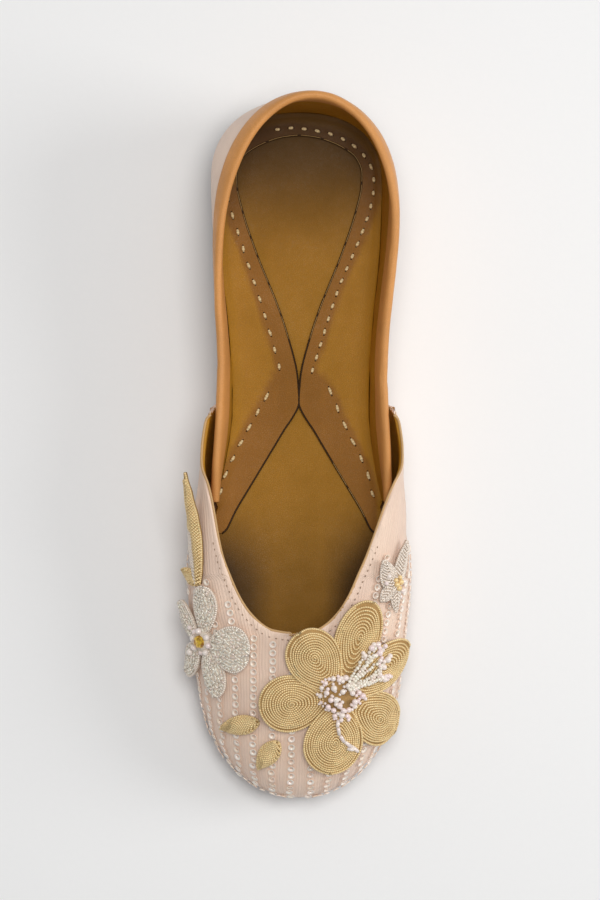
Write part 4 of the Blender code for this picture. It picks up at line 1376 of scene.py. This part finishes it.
class MojariUpper(Operator):
    """The pleated vamp and the quarter, cloth outside and leather inside"""

    bl_idname = "mojari.upper"
    bl_label = "Vamp and quarter"

    def execute(self, context):
        cloth = pleated_silk()
        lining = lining_leather()
        edge = math.radians(60)
        chart = Chart(GROUND.tree)
        vamp = smooth_copy("vamp", "vamp_cloth", 3, edge, 0.6, cloth, lining)
        across = [chart.across_at(vert.co) for vert in vamp.data.vertices]
        pitch, depth = sizes().pleat_pitch, sizes().pleat_depth
        moves = []
        for vert, value in zip(vamp.data.vertices, across):
            puff = abs(math.cos(math.pi * value / pitch)) ** 0.7 - 0.5
            fade = smooth_step(vert.co.z, 8 * MM, 14 * MM) if outside(vert.co, vert.normal) else 0
            moves.append(vert.co + vert.normal * puff * depth * fade)
        for vert, place in zip(vamp.data.vertices, moves):
            vert.co = place
        press_creases(vamp, "vamp", 0.25 * MM)
        number_attribute(vamp.data, "across", across)
        rim = Rim("vamp", 1.4 * MM)
        face_materials(vamp, lambda centre, normal: 0 if rim.outer(centre, normal) else 1)
        dress(vamp, "champagne_fabric", "vamp")

        quarter = smooth_copy("quarter", "quarter_wall", 3, edge, 0.6, cloth, lining)
        press_creases(quarter, "quarter", 0.35 * MM, 18 * MM)
        number_attribute(quarter.data, "across", [vert.co.z for vert in quarter.data.vertices])
        face_materials(quarter, lambda centre, normal: 0 if outside(centre, normal) else 1)
        dress(quarter, "champagne_fabric", "quarter")
        return {"FINISHED"}


class MojariBinding(Operator):
    """The tan strip folded over the collar"""

    bl_idname = "mojari.binding"
    bl_label = "Collar binding"

    def execute(self, context):
        strip = smooth_copy("collar_binding", "collar_strip", 2, math.radians(75), 0.8, collar_leather())
        press_creases(strip, "binding", 0.12 * MM, 9 * MM)
        dress(strip, "tan_binding_leather", "collar_binding")
        return {"FINISHED"}


def strip_edges(node):
    """The two upper edges of a flat strip, as matching points from one end to the other: (free, wall)."""
    mesh = merged(node)
    after = {}
    for edge in mesh.edges:
        tilts = sorted(face.normal.z for face in edge.link_faces)
        if len(tilts) == 2 and tilts[1] > 0.8 and abs(tilts[0]) < 0.5:
            for vert in edge.verts:
                after.setdefault(vert, []).append(edge.other_vert(vert))
    start = min(after, key=lambda vert: vert.index)
    loop = [start, after[start][0]]
    while True:
        ahead = [vert for vert in after[loop[-1]] if vert != loop[-2]][0]
        if ahead == start:
            break
        loop.append(ahead)
    loop = [vert.co.copy() for vert in loop]
    mesh.free()
    ends = []
    for side in (-1, 1):
        own = [i for i, point in enumerate(loop) if (point.x - CENTRE_X) * side > 0]
        ends.append(sorted(own, key=lambda i: loop[i].y)[:2])
    count = len(loop)
    start = ends[0][0] if (ends[0][0] - ends[0][1]) % count == 1 else ends[0][1]
    turned = loop[start:] + loop[:start]
    first, second = turned[: count // 2], turned[count // 2 :][::-1]
    walls = tree_of("quarter")
    near = [sum(walls.find_nearest(point)[3] for point in line) for line in (first, second)]
    return (second, first) if near[0] < near[1] else (first, second)


def line_at(points, place):
    """A point on the smooth curve through a line of points, at a place counted in points."""
    i = min(max(int(place), 0), len(points) - 2)
    t = place - i
    b, c = points[i], points[i + 1]
    a = points[i - 1] if i else b * 2 - c
    d = points[i + 2] if i + 2 < len(points) else c * 2 - b
    return cubic(a, b, c, d, t)


class MojariLiningFlap(Operator):
    """The turned-in lining margin, the painted shadow and painted highlight along its raw edge, and the hand
    stitches along it
    """

    bl_idname = "mojari.lining_flap"
    bl_label = "Turned-in lining"

    COVE = 4.6 * MM
    THICKNESS = 1.15 * MM

    def execute(self, context):
        free, wall = strip_edges("lining_flap")
        walls = tree_of("quarter", "vamp")
        count = len(free)
        mesh = bmesh.new()
        made = bmesh.ops.create_grid(mesh, x_segments=4 * (count - 1), y_segments=22, size=1)
        for vert in made["verts"]:
            along = (vert.co.x + 1) / 2 * (count - 1)
            across = (1 - math.cos(math.pi * (vert.co.y + 1) / 2)) / 2
            flat = line_at(free, along).lerp(line_at(wall, along), across)
            vert.co = self.coved(flat, across, walls)
        faces = list(mesh.faces)
        lower = bmesh.ops.extrude_face_region(mesh, geom=faces)
        moved = [item for item in lower["geom"] if isinstance(item, bmesh.types.BMVert)]
        bmesh.ops.translate(mesh, verts=moved, vec=Vector((0, 0, -self.THICKNESS)))
        bmesh.ops.recalc_face_normals(mesh, faces=mesh.faces)
        margin = from_bmesh("lining_margin", mesh, flap_leather(), cut_edge())
        self.colour(margin)
        face_materials(margin, lambda centre, normal: 1 if abs(normal.z) < 0.35 and normal.z < 0.3 else 0)
        keep_sharp(margin, 50)
        dress(margin, "brown_lining_leather", "lining_flap")
        self.edge(free)
        self.stitches(margin)
        return {"FINISHED"}

    def colour(self, margin):
        """Brown along the stitched band, the lining's olive outside the stitches, and darkened in the heel
        seat to meet the photo's shade."""
        outer, inner, ball_inner, ball_outer = [row["points"] for row in rows_of(STITCH_LINES)]
        lines = [[(x * MM, y * MM, 0) for x, y in line] for line in (outer + ball_outer, inner + ball_inner)]
        sewn = [place for line in lines for place in smooth_line(line, MM)]
        near = KDTree(len(sewn))
        for i, place in enumerate(sewn):
            near.insert(place, i)
        near.balance()
        heel = Vector((CENTRE_X, 70 * MM, 0))

        def out(place):
            return (place - heel).length if place.y > heel.y else abs(place.x - CENTRE_X)

        places = [Vector((vert.co.x, vert.co.y, 0)) for vert in margin.data.vertices]
        turned = [smooth_step(out(place) - out(near.find(place)[0]), 0.9 * MM, 2.4 * MM) for place in places]
        number_attribute(margin.data, "turned", turned)
        deep = [0.75 * smooth_step(place.y, 66 * MM, 118 * MM) for place in places]
        number_attribute(margin.data, "deep", deep)

    def coved(self, point, across, walls):
        """A point of the margin lifted into the soft curve by which the lining comes down off the wall."""
        radius = self.COVE
        wall = walls.find_nearest(point + Vector((0, 0, 2 * MM)))[0]
        out = Vector((wall.x - point.x, wall.y - point.y, 0))
        gap = min(out.length, radius)
        lift = radius - math.sqrt(max(radius**2 - (radius - gap) ** 2, 0))
        share = smooth_step(across, 0.15, 0.7)
        ripple = 0.16 * MM * noise.noise(point / (9 * MM)) * math.sin(math.pi * across)
        lifted = point + Vector((0, 0, lift * share + ripple))
        if across > 0.93 and out.length < 2 * MM:
            lifted += out * (1 - 0.1 * MM / max(out.length, 0.1 * MM)) * smooth_step(across, 0.93, 1)
        return lifted

    def edge(self, free):
        """A dark cord along the cut as the raw edge's painted shadow, with short pale cords on it over the
        heel half and the outer ball as painted highlight.
        """
        line = smooth_line(free, 1.2 * MM)
        low = [point + Vector((0, 0, -0.12 * MM)) for point in line]
        # A dark cord laid along the raw edge: painted shadow.
        dark = dyed_leather("painted_edge_shadow", linear("3E270B"), 0.6 * MM, 0.6, 0.3)
        dress(cord("margin_painted_edge_shadow", [low], 0.36 * MM, dark, 6), "brown_lining_leather")
        # Short pale cords on the raw edge: painted highlight.
        pale, run = [], []
        draw = random.Random(sizes().seed + 5)
        for point in line:
            if point.y > 40 * MM or (point.x > 12 * MM and point.y < -4 * MM):
                run.append(point + Vector((0, 0, 0.10 * MM)))
            if len(run) > draw.randint(5, 16):
                pale.append(run)
                run = []
        fibres = dyed_leather("painted_edge_highlight", linear("C9A469"), 0.4 * MM, 0.8, 0.3)
        dress(cord("margin_painted_edge_highlight", pale, 0.13 * MM, fibres, 6), "brown_lining_leather")

    def stitches(self, margin):
        """Slack hand stitches, each pulled into its two needle holes, with a dark flattened disc sunk at each
        hole as its painted shade.
        """
        faces = [list(face.vertices) for face in margin.data.polygons]
        upper = BVHTree.FromPolygons([vert.co for vert in margin.data.vertices], faces)
        lower = tree_of("quarter", "collar_binding")
        draw = random.Random(sizes().seed)
        stitches = []
        holes = Many()
        down = Vector((0, 0, -1))

        def ground(place):
            hits = [tree.ray_cast(Vector((place.x, place.y, 30 * MM)), down) for tree in (upper, lower)]
            hits = [hit for hit in hits if hit[0] and hit[1].z > 0.2]
            return max(hits, key=lambda hit: hit[0].z) if hits else None

        for route in rows_of(STITCH_LINES):
            flat = smooth_line([(x * MM, y * MM, 0) for x, y in route["points"]], route["pitch"] * MM)
            for i, point in enumerate(flat):
                near = flat[min(i + 1, len(flat) - 1)] - flat[max(i - 1, 0)]
                turn = Matrix.Rotation(math.radians(draw.uniform(-11, 11)), 3, "Z")
                along = turn @ near.normalized()
                length = route["length"] * MM * draw.uniform(0.85, 1.2)
                hits = [ground(point + along * (k / 6 - 0.5) * length) for k in range(7)]
                if None in hits:
                    continue
                rises = [(0.42 - 1.9 * (k / 6 - 0.5) ** 2) * MM for k in range(7)]
                stitches.append([hit[0] + hit[1] * rise for hit, rise in zip(hits, rises)])
                for hit, direction in ((hits[0], -1), (hits[-1], 1)):
                    place = hit[0] + along * direction * 0.25 * MM - hit[1] * 0.16 * MM
                    holes.ball(place, 0.46 * MM, hit[1], 0.5, 8, 5)
        thread = spun_thread("waxed_cotton", tuple(colours().thread), 1.1 * MM)
        sewn = cord("hand_stitches", stitches, sizes().stitch_radius, thread, 8, taper=True)
        dress(sewn, "brown_lining_leather")
        # Dark discs at the stitch ends: painted shade in the needle holes.
        shadow = dyed_leather("needle_hole_painted_shade", linear("33200A"), 0.6 * MM, 0.8, 0.2)
        dress(holes.finish("stitch_hole_painted_shade", shadow), "brown_lining_leather")


class MojariThroat(Operator):
    """The piping round the throat and the needle marks behind it"""

    bl_idname = "mojari.throat"
    bl_label = "Throat piping"

    def execute(self, context):
        rim = rim_line("vamp", 1.4 * MM)
        line = smooth_line(rim, 1.1 * MM)
        tan = dyed_leather("piping_kid", linear("D9B07C"), 0.6 * MM, 0.5, 0.2)
        radius = sizes().piping_radius
        piping = cord("throat_piping", [[point + Vector((0, 0, 0.1 * MM)) for point in line]], radius, tan, 8)
        dress(piping, "tan_binding_leather")
        marks = []
        inset = 2.7 * MM
        for i in range(3, len(line) - 3, 2):
            along = (line[i + 1] - line[i - 1]).normalized()
            seen = line[i] + Vector((0, 0, 1)) * MM
            side = along.cross(Vector((0, 0, 1))).normalized()
            if side.dot(seen - Vector((CENTRE_X, -10 * MM, seen.z))) < 0:
                side = -side
            hit = GROUND.tree.find_nearest(seen + side * inset)
            if hit[0] and outside(hit[0], hit[1]) and seen.y < -32 * MM:
                run = along * 0.34 * MM
                lift = hit[1] * 0.05 * MM
                marks.append([hit[0] - run + lift, hit[0] + lift * 3, hit[0] + run + lift])
        brown = spun_thread("brown_thread", linear("B0937B"), 0.9 * MM)
        sewn = cord("needle_marks", marks, 0.2 * MM, brown, taper=True)
        dress(sewn, "champagne_fabric")
        return {"FINISHED"}


class MojariSequins(Operator):
    """The columns of ring sequins between the pleats"""

    bl_idname = "mojari.sequins"
    bl_label = "Sequins"

    line = ()

    def execute(self, context):
        chart = Chart(GROUND.tree)
        covered = tree_of(
            "gold_flower",
            "silver_flower",
            "toe_leaf_medial",
            "toe_leaf_front",
            "medial_leaves",
            "lateral_leaves",
        )
        self.line = smooth_line(rim_line("vamp", 1.4 * MM), 3 * MM)
        many = Many()
        radius, pitch = sizes().sequin_radius, sizes().sequin_pitch
        columns = 7
        for column in range(-columns, columns):
            across = (column + 0.5) * sizes().pleat_pitch
            y = VAMP_LOW[1] + 1 * MM
            before = None
            while y < -36 * MM:
                y += 0.3 * MM
                found = chart.place(across, y)
                if not found or found[0].z < 9 * MM:
                    continue
                point, normal = found
                if before and (point - before).length < pitch:
                    continue
                before = point
                if self.near_throat(point) or covered.ray_cast(point + normal * 0.2 * MM, normal, 7 * MM)[0]:
                    continue
                lean = Vector([many.random.uniform(-0.07, 0.07) for _ in range(3)])
                self.ring(many, point + normal * 0.20 * MM, (normal + lean).normalized(), radius)
        sequins = many.finish("ring_sequins", sequin_plastic())
        wall = sequins.modifiers.new("film", "SOLIDIFY")
        wall.thickness = 0.12 * MM
        wall.offset = 0
        dress(sequins, "champagne_fabric")
        return {"FINISHED"}

    def near_throat(self, point):
        """Whether a point lies in the plain margin round the throat."""
        above = GROUND.tree.find_nearest(point)[0]
        return any((above - rim).length < 4.4 * MM for rim in self.line)

    def ring(self, many, centre, out, radius):
        """A cupped ring: a low open cone with a hole of a third of its width."""
        level = out.to_track_quat("Z", "Y").to_matrix().to_4x4()
        for outer, inner, rise, lift in ((1.0, 0.72, 0.26, 0.12), (0.72, 0.36, 0.12, 0.0)):
            made = bmesh.ops.create_cone(
                many.mesh,
                cap_ends=False,
                segments=14,
                radius1=radius * inner,
                radius2=radius * outer,
                depth=radius * rise,
                matrix=Matrix.Translation(centre + out * radius * (lift + rise / 2)) @ level,
            )
            for vert in made["verts"]:
                vert[many.piece] = (centre.y * 997) % 1


class MojariGoldFlower(Operator):
    """The gold flower: padded petals wound with gilt cord"""

    bl_idname = "mojari.gold_flower"
    bl_label = "Gold flower"

    def execute(self, context):
        centre, pads = petal_pads(GOLD_PLACE, GOLD_PETALS, 3 * MM, 1.6 * MM, 2.2 * MM, 0.7 * MM)
        felt = petal_felt("ochre_felt", linear("B48E58"))
        padding = pads_piece("gold_petal_pads", pads, felt, (centre, 7 * MM, 3.3 * MM))
        dress(padding, "gold_dabka", "gold_flower")
        gold = gold_dabka()
        draw = random.Random(sizes().seed)
        rims = []
        for number, pad in enumerate(pads, 1):
            coil, rim = coil_lines(pad, sizes().coil_pitch, sizes().coil_radius, draw)
            rims.append(rim)
            wound = cord(f"gold_petal_coil_{number}", [coil], sizes().coil_radius, gold)
            dress(wound, "gold_dabka")
        border = cord("gold_petal_borders", rims, sizes().coil_radius * 1.2, gold, closed=True)
        dress(border, "gold_dabka")
        return {"FINISHED"}


def settled(tree, centre, across, ahead, radius, rise=0.0):
    """A ball's centre, resting on what lies under it at a place in a flower's plane."""
    flat = centre.point + centre.ahead * across * MM + centre.across * ahead * MM
    start = 25 * MM
    hit = tree.ray_cast(flat + centre.out * start, -centre.out)
    top = start - hit[3] if hit[0] and hit[3] < start + 3 * MM else 4 * MM
    return flat + centre.out * (top + radius * MM * 0.85 + rise * MM)


class MojariPearls(Operator):
    """The pearl cluster, its fan of bead strings and the glass tubes below it"""

    bl_idname = "mojari.pearls"
    bl_label = "Pearl cluster"

    def execute(self, context):
        centre = GROUND.plan_spot(*GOLD_PLACE)
        tree = tree_of("vamp", "gold_flower")
        draw = random.Random(sizes().seed + 1)
        pearls = Many()
        for row in rows_of(CLUSTER_PEARLS):
            radius = row["radius"] * draw.uniform(0.72, 0.92)
            place = settled(tree, centre, row["across"], row["ahead"], radius, row["rise"])
            pearls.ball(place, radius * MM, centre.out, draw.uniform(0.85, 1.1), 12, 8)
            for _ in range(2):
                small = radius * draw.uniform(0.5, 0.72)
                turn = draw.uniform(0, 2 * math.pi)
                across = row["across"] + math.cos(turn) * (radius + small) * 0.85
                ahead = row["ahead"] + math.sin(turn) * (radius + small) * 0.85
                place = settled(tree, centre, across, ahead, small, draw.uniform(0, 0.8))
                pearls.ball(place, small * MM, centre.out, draw.uniform(0.8, 1.1), 10, 7)
        beads = Many()
        for row in rows_of(STAMENS):
            start = Vector((2.4, 2.2))
            end = Vector((row["across"], row["ahead"]))
            run = (end - start).length
            side = Vector((-(end - start).y, (end - start).x)).normalized()
            bow = draw.uniform(-1.4, 1.4)
            steps = int(run / 1.15)
            for i in range(1, steps + 1):
                t = i / (steps + 0.6)
                flat = start.lerp(end, t) + side * bow * math.sin(math.pi * t)
                radius = draw.uniform(0.54, 0.80)
                flat += side * draw.uniform(-0.45, 0.45)
                place = settled(tree, centre, flat.x, flat.y, radius, 1.5 * math.sin(math.pi * t) ** 0.7)
                beads.ball(place, radius * MM, centre.out, draw.uniform(0.8, 1.2), 8, 5)
            for share, turn in ((1.0, 0.0), (0.8, draw.uniform(0, 3)), (0.7, draw.uniform(3, 6))):
                tip = row["tip"] * share * 0.9
                shift = 0 if share == 1 else row["tip"] * 1.1
                spot = end + Vector((math.cos(turn), math.sin(turn))) * shift
                place = settled(tree, centre, spot.x, spot.y, tip, 0.3)
                pearls.ball(place, tip * MM, centre.out, 1.0, 12, 8)
        dress(pearls.finish("cluster_pearls", pearl_glass()), "pearl", "pearl_cluster")
        glass = cut_glass_beads()
        dress(beads.finish("bead_strings", glass), "silver_bead")
        tubes = Many()
        for row in rows_of(HANGING_TUBES):
            place = settled(tree, centre, row["across"], row["ahead"], 0.75, 0.2)
            along = centre.direction(math.radians(row["turn"]))
            tubes.tube(place, along, row["length"] * MM, 0.75 * MM, 8, 0.85)
        dress(tubes.finish("hanging_tubes", pearl_glass()), "pearl")
        return {"FINISHED"}


class MojariSilverFlower(Operator):
    """The silver flower: petals filled with cut beads round an amber stone"""

    bl_idname = "mojari.silver_flower"
    bl_label = "Silver flower"

    def execute(self, context):
        centre, pads = petal_pads(SILVER_PLACE, SILVER_PETALS, 3 * MM, 1.4 * MM, 1.2 * MM, 0.7 * MM)
        felt = petal_felt("grey_felt", linear("F0DFCE"))
        padding = pads_piece("silver_petal_pads", pads, felt, (centre, 4.5 * MM, 3.0 * MM))
        dress(padding, "silver_bead", "silver_flower")
        draw = random.Random(sizes().seed + 2)
        chips = Many()
        rims = []
        silver = silver_dabka()
        for pad in pads:
            self.fill(chips, pad, draw)
            rims.append(coil_lines(pad, 1.2 * MM, 0.4 * MM, draw)[1])
        glass = cut_glass_beads()
        dress(chips.finish("silver_petal_beads", glass), "silver_bead")
        dress(cord("silver_petal_borders", rims, 0.42 * MM, silver, closed=True), "silver_bead")

        tree = tree_of("vamp", "silver_flower")
        beads = Many()
        for row in rows_of(STONE_BEADS):
            place = settled(tree, centre, row["across"], row["ahead"], row["radius"])
            beads.ball(place, row["radius"] * MM, centre.out, 1.0, 12, 8)
        dress(beads.finish("stone_beads", pearl_glass()), "pearl")
        self.stone(centre)
        return {"FINISHED"}

    def fill(self, chips, pad, draw):
        """Rows of cut beads in a loose herringbone over a petal."""
        radius = sizes().chip_radius
        step = 1.75 * MM
        along = 1.2 * MM
        row = 0
        while along < pad.length * 0.965:
            u = along / pad.length
            half = pad.half_width(u) * pad.width - 0.5 * MM
            count = max(int(2 * half / (1.2 * MM)), 1)
            for k in range(count):
                across = -half + 2 * half * (k + 0.5) / count + draw.uniform(-0.15, 0.15) * MM
                place = pad.at(along + draw.uniform(-0.2, 0.2) * MM, across)
                lean = math.radians(38 if (k + row) % 2 else -38) + draw.uniform(-0.5, 0.5)
                way = pad.spot.direction(lean) + pad.spot.out * draw.uniform(-0.15, 0.25)
                length = draw.uniform(1.3, 1.9) * MM
                chips.tube(place + pad.spot.out * radius * 0.4, way.normalized(), length, radius, 6, 0.9)
            along += step * 0.72
            row += 1

    def stone(self, centre):
        """A round stone with a table, two rows of crown facets and a girdle."""
        low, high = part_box("amber_stone")
        middle = (Vector(low) + Vector(high)) / 2
        level = centre.out.to_track_quat("Z", "Y").to_matrix().to_4x4()
        mesh = bmesh.new()
        radius = 2.4 * MM
        rings = ((1.0, -0.40), (1.0, -0.15), (0.80, 0.22), (0.48, 0.42))
        loops = []
        for share, rise in rings:
            made = bmesh.ops.create_circle(mesh, cap_ends=False, segments=10, radius=radius * share)
            bmesh.ops.translate(mesh, verts=made["verts"], vec=Vector((0, 0, rise * radius)))
            loops.append(made["verts"])
        for first, second in zip(loops, loops[1:]):
            edges = {edge for vert in first + second for edge in vert.link_edges if len(edge.link_faces) < 2}
            kept = [edge for edge in edges if set(edge.verts) <= set(first) or set(edge.verts) <= set(second)]
            bmesh.ops.bridge_loops(mesh, edges=kept)
        for ends in (loops[0], loops[-1]):
            bmesh.ops.contextual_create(mesh, geom=ends)
        bmesh.ops.recalc_face_normals(mesh, faces=mesh.faces)
        bmesh.ops.transform(mesh, matrix=Matrix.Translation(middle) @ level, verts=mesh.verts)
        dress(from_bmesh("cut_stone", mesh, amber_glass(), smooth=False), "amber_stone", "amber_stone")


class MojariLeaves(Operator):
    """The gold leaves and the silver spray, laid with short slanting cords"""

    bl_idname = "mojari.leaves"
    bl_label = "Leaves"

    def execute(self, context):
        gold = gold_dabka()
        silver = silver_dabka()
        felt = petal_felt("leaf_felt", linear("A07C45"))
        for node, table in GOLD_LEAVES.items():
            pads = leaf_pads(table)
            padding = pads_piece(f"{node}_pad", pads, felt)
            dress(padding, "gold_dabka", node)
            shown, pale, borders = [], [], []
            for number, pad in enumerate(pads):
                if node == "medial_leaves" and number == 0:
                    sides = leaf_cords(pad, 1.15 * MM, 0.5 * MM, 0.9)
                    lower = len(sides[1]) // 2
                    pale += sides[1][:lower]
                    shown += sides[1][lower:] + sides[-1]
                else:
                    shown += slant_cords(pad, 0.95 * MM, 0.46 * MM, 1.1)
                borders.append(leaf_border(pad, 0.45 * MM))
            dress(cord(f"{node}_cords", shown, 0.5 * MM, gold), "gold_dabka")
            if pale:
                dress(cord(f"{node}_pale_cords", pale, 0.5 * MM, silver), "silver_bead")
            dress(cord(f"{node}_border", borders, 0.42 * MM, gold, closed=True), "gold_dabka")
        self.spray(silver, gold)
        return {"FINISHED"}

    def spray(self, silver, gold):
        """The silver spray on the outer side: four small leaves, gold beads and pearls."""
        pads = leaf_pads(LATERAL_LEAVES)
        felt = petal_felt("spray_felt", linear("DCCBBA"))
        padding = pads_piece("lateral_leaves_pad", pads, felt)
        dress(padding, "silver_bead", "lateral_leaves")
        lines, borders = [], []
        for pad in pads:
            sides = leaf_cords(pad, 1.2 * MM, 0.42 * MM, 0.9)
            lines += sides[-1] + sides[1]
            borders.append(leaf_border(pad, 0.42 * MM))
        dress(cord("lateral_leaves_cords", lines, 0.42 * MM, silver), "silver_bead")
        dress(cord("lateral_leaves_border", borders, 0.45 * MM, silver, closed=True), "silver_bead")
        centre = GROUND.plan_spot(*SPRAY_PLACE)
        tree = tree_of("vamp", "lateral_leaves")
        for name, table, material, slot in (
            ("spray_gold_beads", SPRAY_BEADS, gold, "gold_dabka"),
            ("spray_pearls", SPRAY_PEARLS, pearl_glass(), "pearl"),
        ):
            many = Many()
            for row in rows_of(table):
                place = settled(tree, centre, row["across"], row["ahead"], row["radius"])
                many.ball(place, row["radius"] * MM, centre.out, 1.0, 10, 7)
            dress(many.finish(name, material), slot)


class MojariStage(Operator):
    """A pale floor, soft studio light and the camera straight above"""

    bl_idname = "mojari.stage"
    bl_label = "Stage"

    def execute(self, context):
        scene = context.scene
        mesh = bmesh.new()
        bmesh.ops.create_grid(mesh, x_segments=8, y_segments=8, size=3)
        floor = from_bmesh("floor", mesh, studio_floor())
        self.light("key", (0.06, 0.18, 1.3), 0.6, 8.1, (1.0, 0.99, 0.97))
        self.light("side", (1.05, 0.10, 0.62), 0.6, 5.2, (1.0, 0.995, 0.985))
        world = scene.world or bpy.data.worlds.new("studio")
        scene.world = world
        world.use_nodes = True
        sky = world.node_tree.nodes["Background"]
        sky.inputs["Color"].default_value = (0.97, 0.98, 1.0, 1)
        sky.inputs["Strength"].default_value = 0.34
        scene.view_settings.view_transform = "Standard"
        scene.view_settings.look = "None"
        self.camera(scene)
        return {"FINISHED"}

    def light(self, name, place, size, energy, colour):
        lamp = bpy.data.lights.new(name, "AREA")
        lamp.shape = "DISK"
        lamp.size = size
        lamp.energy = energy
        lamp.color = colour
        made = bpy.data.objects.new(name, lamp)
        made.location = place
        made.rotation_euler = (-Vector(place)).to_track_quat("-Z", "Y").to_euler()
        bpy.context.scene.collection.objects.link(made)

    def camera(self, scene):
        """The photo's own eye: 1.3 m above the pair, so this shoe is seen a little from its inner side."""
        lens = bpy.data.cameras.new("eye")
        lens.sensor_width = 36
        lens.lens = 142
        lens.clip_start = 0.05
        eye = bpy.data.objects.new("eye", lens)
        eye.location = (-49.1 * MM, 10.8 * MM, 1.3)
        back = (eye.location - Vector((2 * MM, 0, 20 * MM))).normalized()
        right = Vector((0, 1, 0)).cross(back).normalized()
        eye.rotation_euler = Matrix((right, back.cross(right), back)).transposed().to_euler()
        scene.collection.objects.link(eye)
        scene.camera = eye


class MojariPanel(Panel):
    """Lists the pieces of the finish in the sidebar"""

    bl_idname = "VIEW3D_PT_mojari"
    bl_label = "Mojari finish"
    bl_space_type = "VIEW_3D"
    bl_region_type = "UI"
    bl_category = "Mojari"

    def draw(self, context):
        for step in STEPS:
            self.layout.operator(step.bl_idname)
        for group in (context.scene.mojari_sizes, context.scene.mojari_colours):
            for name in group.bl_rna.properties.keys():
                if name not in ("rna_type", "name"):
                    self.layout.prop(group, name)


STEPS = (
    MojariStage,
    MojariSole,
    MojariUpper,
    MojariBinding,
    MojariLiningFlap,
    MojariThroat,
    MojariSequins,
    MojariGoldFlower,
    MojariPearls,
    MojariSilverFlower,
    MojariLeaves,
)
CLASSES = (MojariSizes, MojariColours, *STEPS, MojariPanel)


def register():
    for item in CLASSES:
        bpy.utils.register_class(item)
    bpy.types.Scene.mojari_sizes = PointerProperty(type=MojariSizes)
    bpy.types.Scene.mojari_colours = PointerProperty(type=MojariColours)


def unregister():
    del bpy.types.Scene.mojari_colours
    del bpy.types.Scene.mojari_sizes
    for item in reversed(CLASSES):
        bpy.utils.unregister_class(item)


def main():
    register()
    for step in STEPS:
        group, name = step.bl_idname.split(".")
        getattr(getattr(bpy.ops, group), name)()


if __name__ == "__main__":
    main()
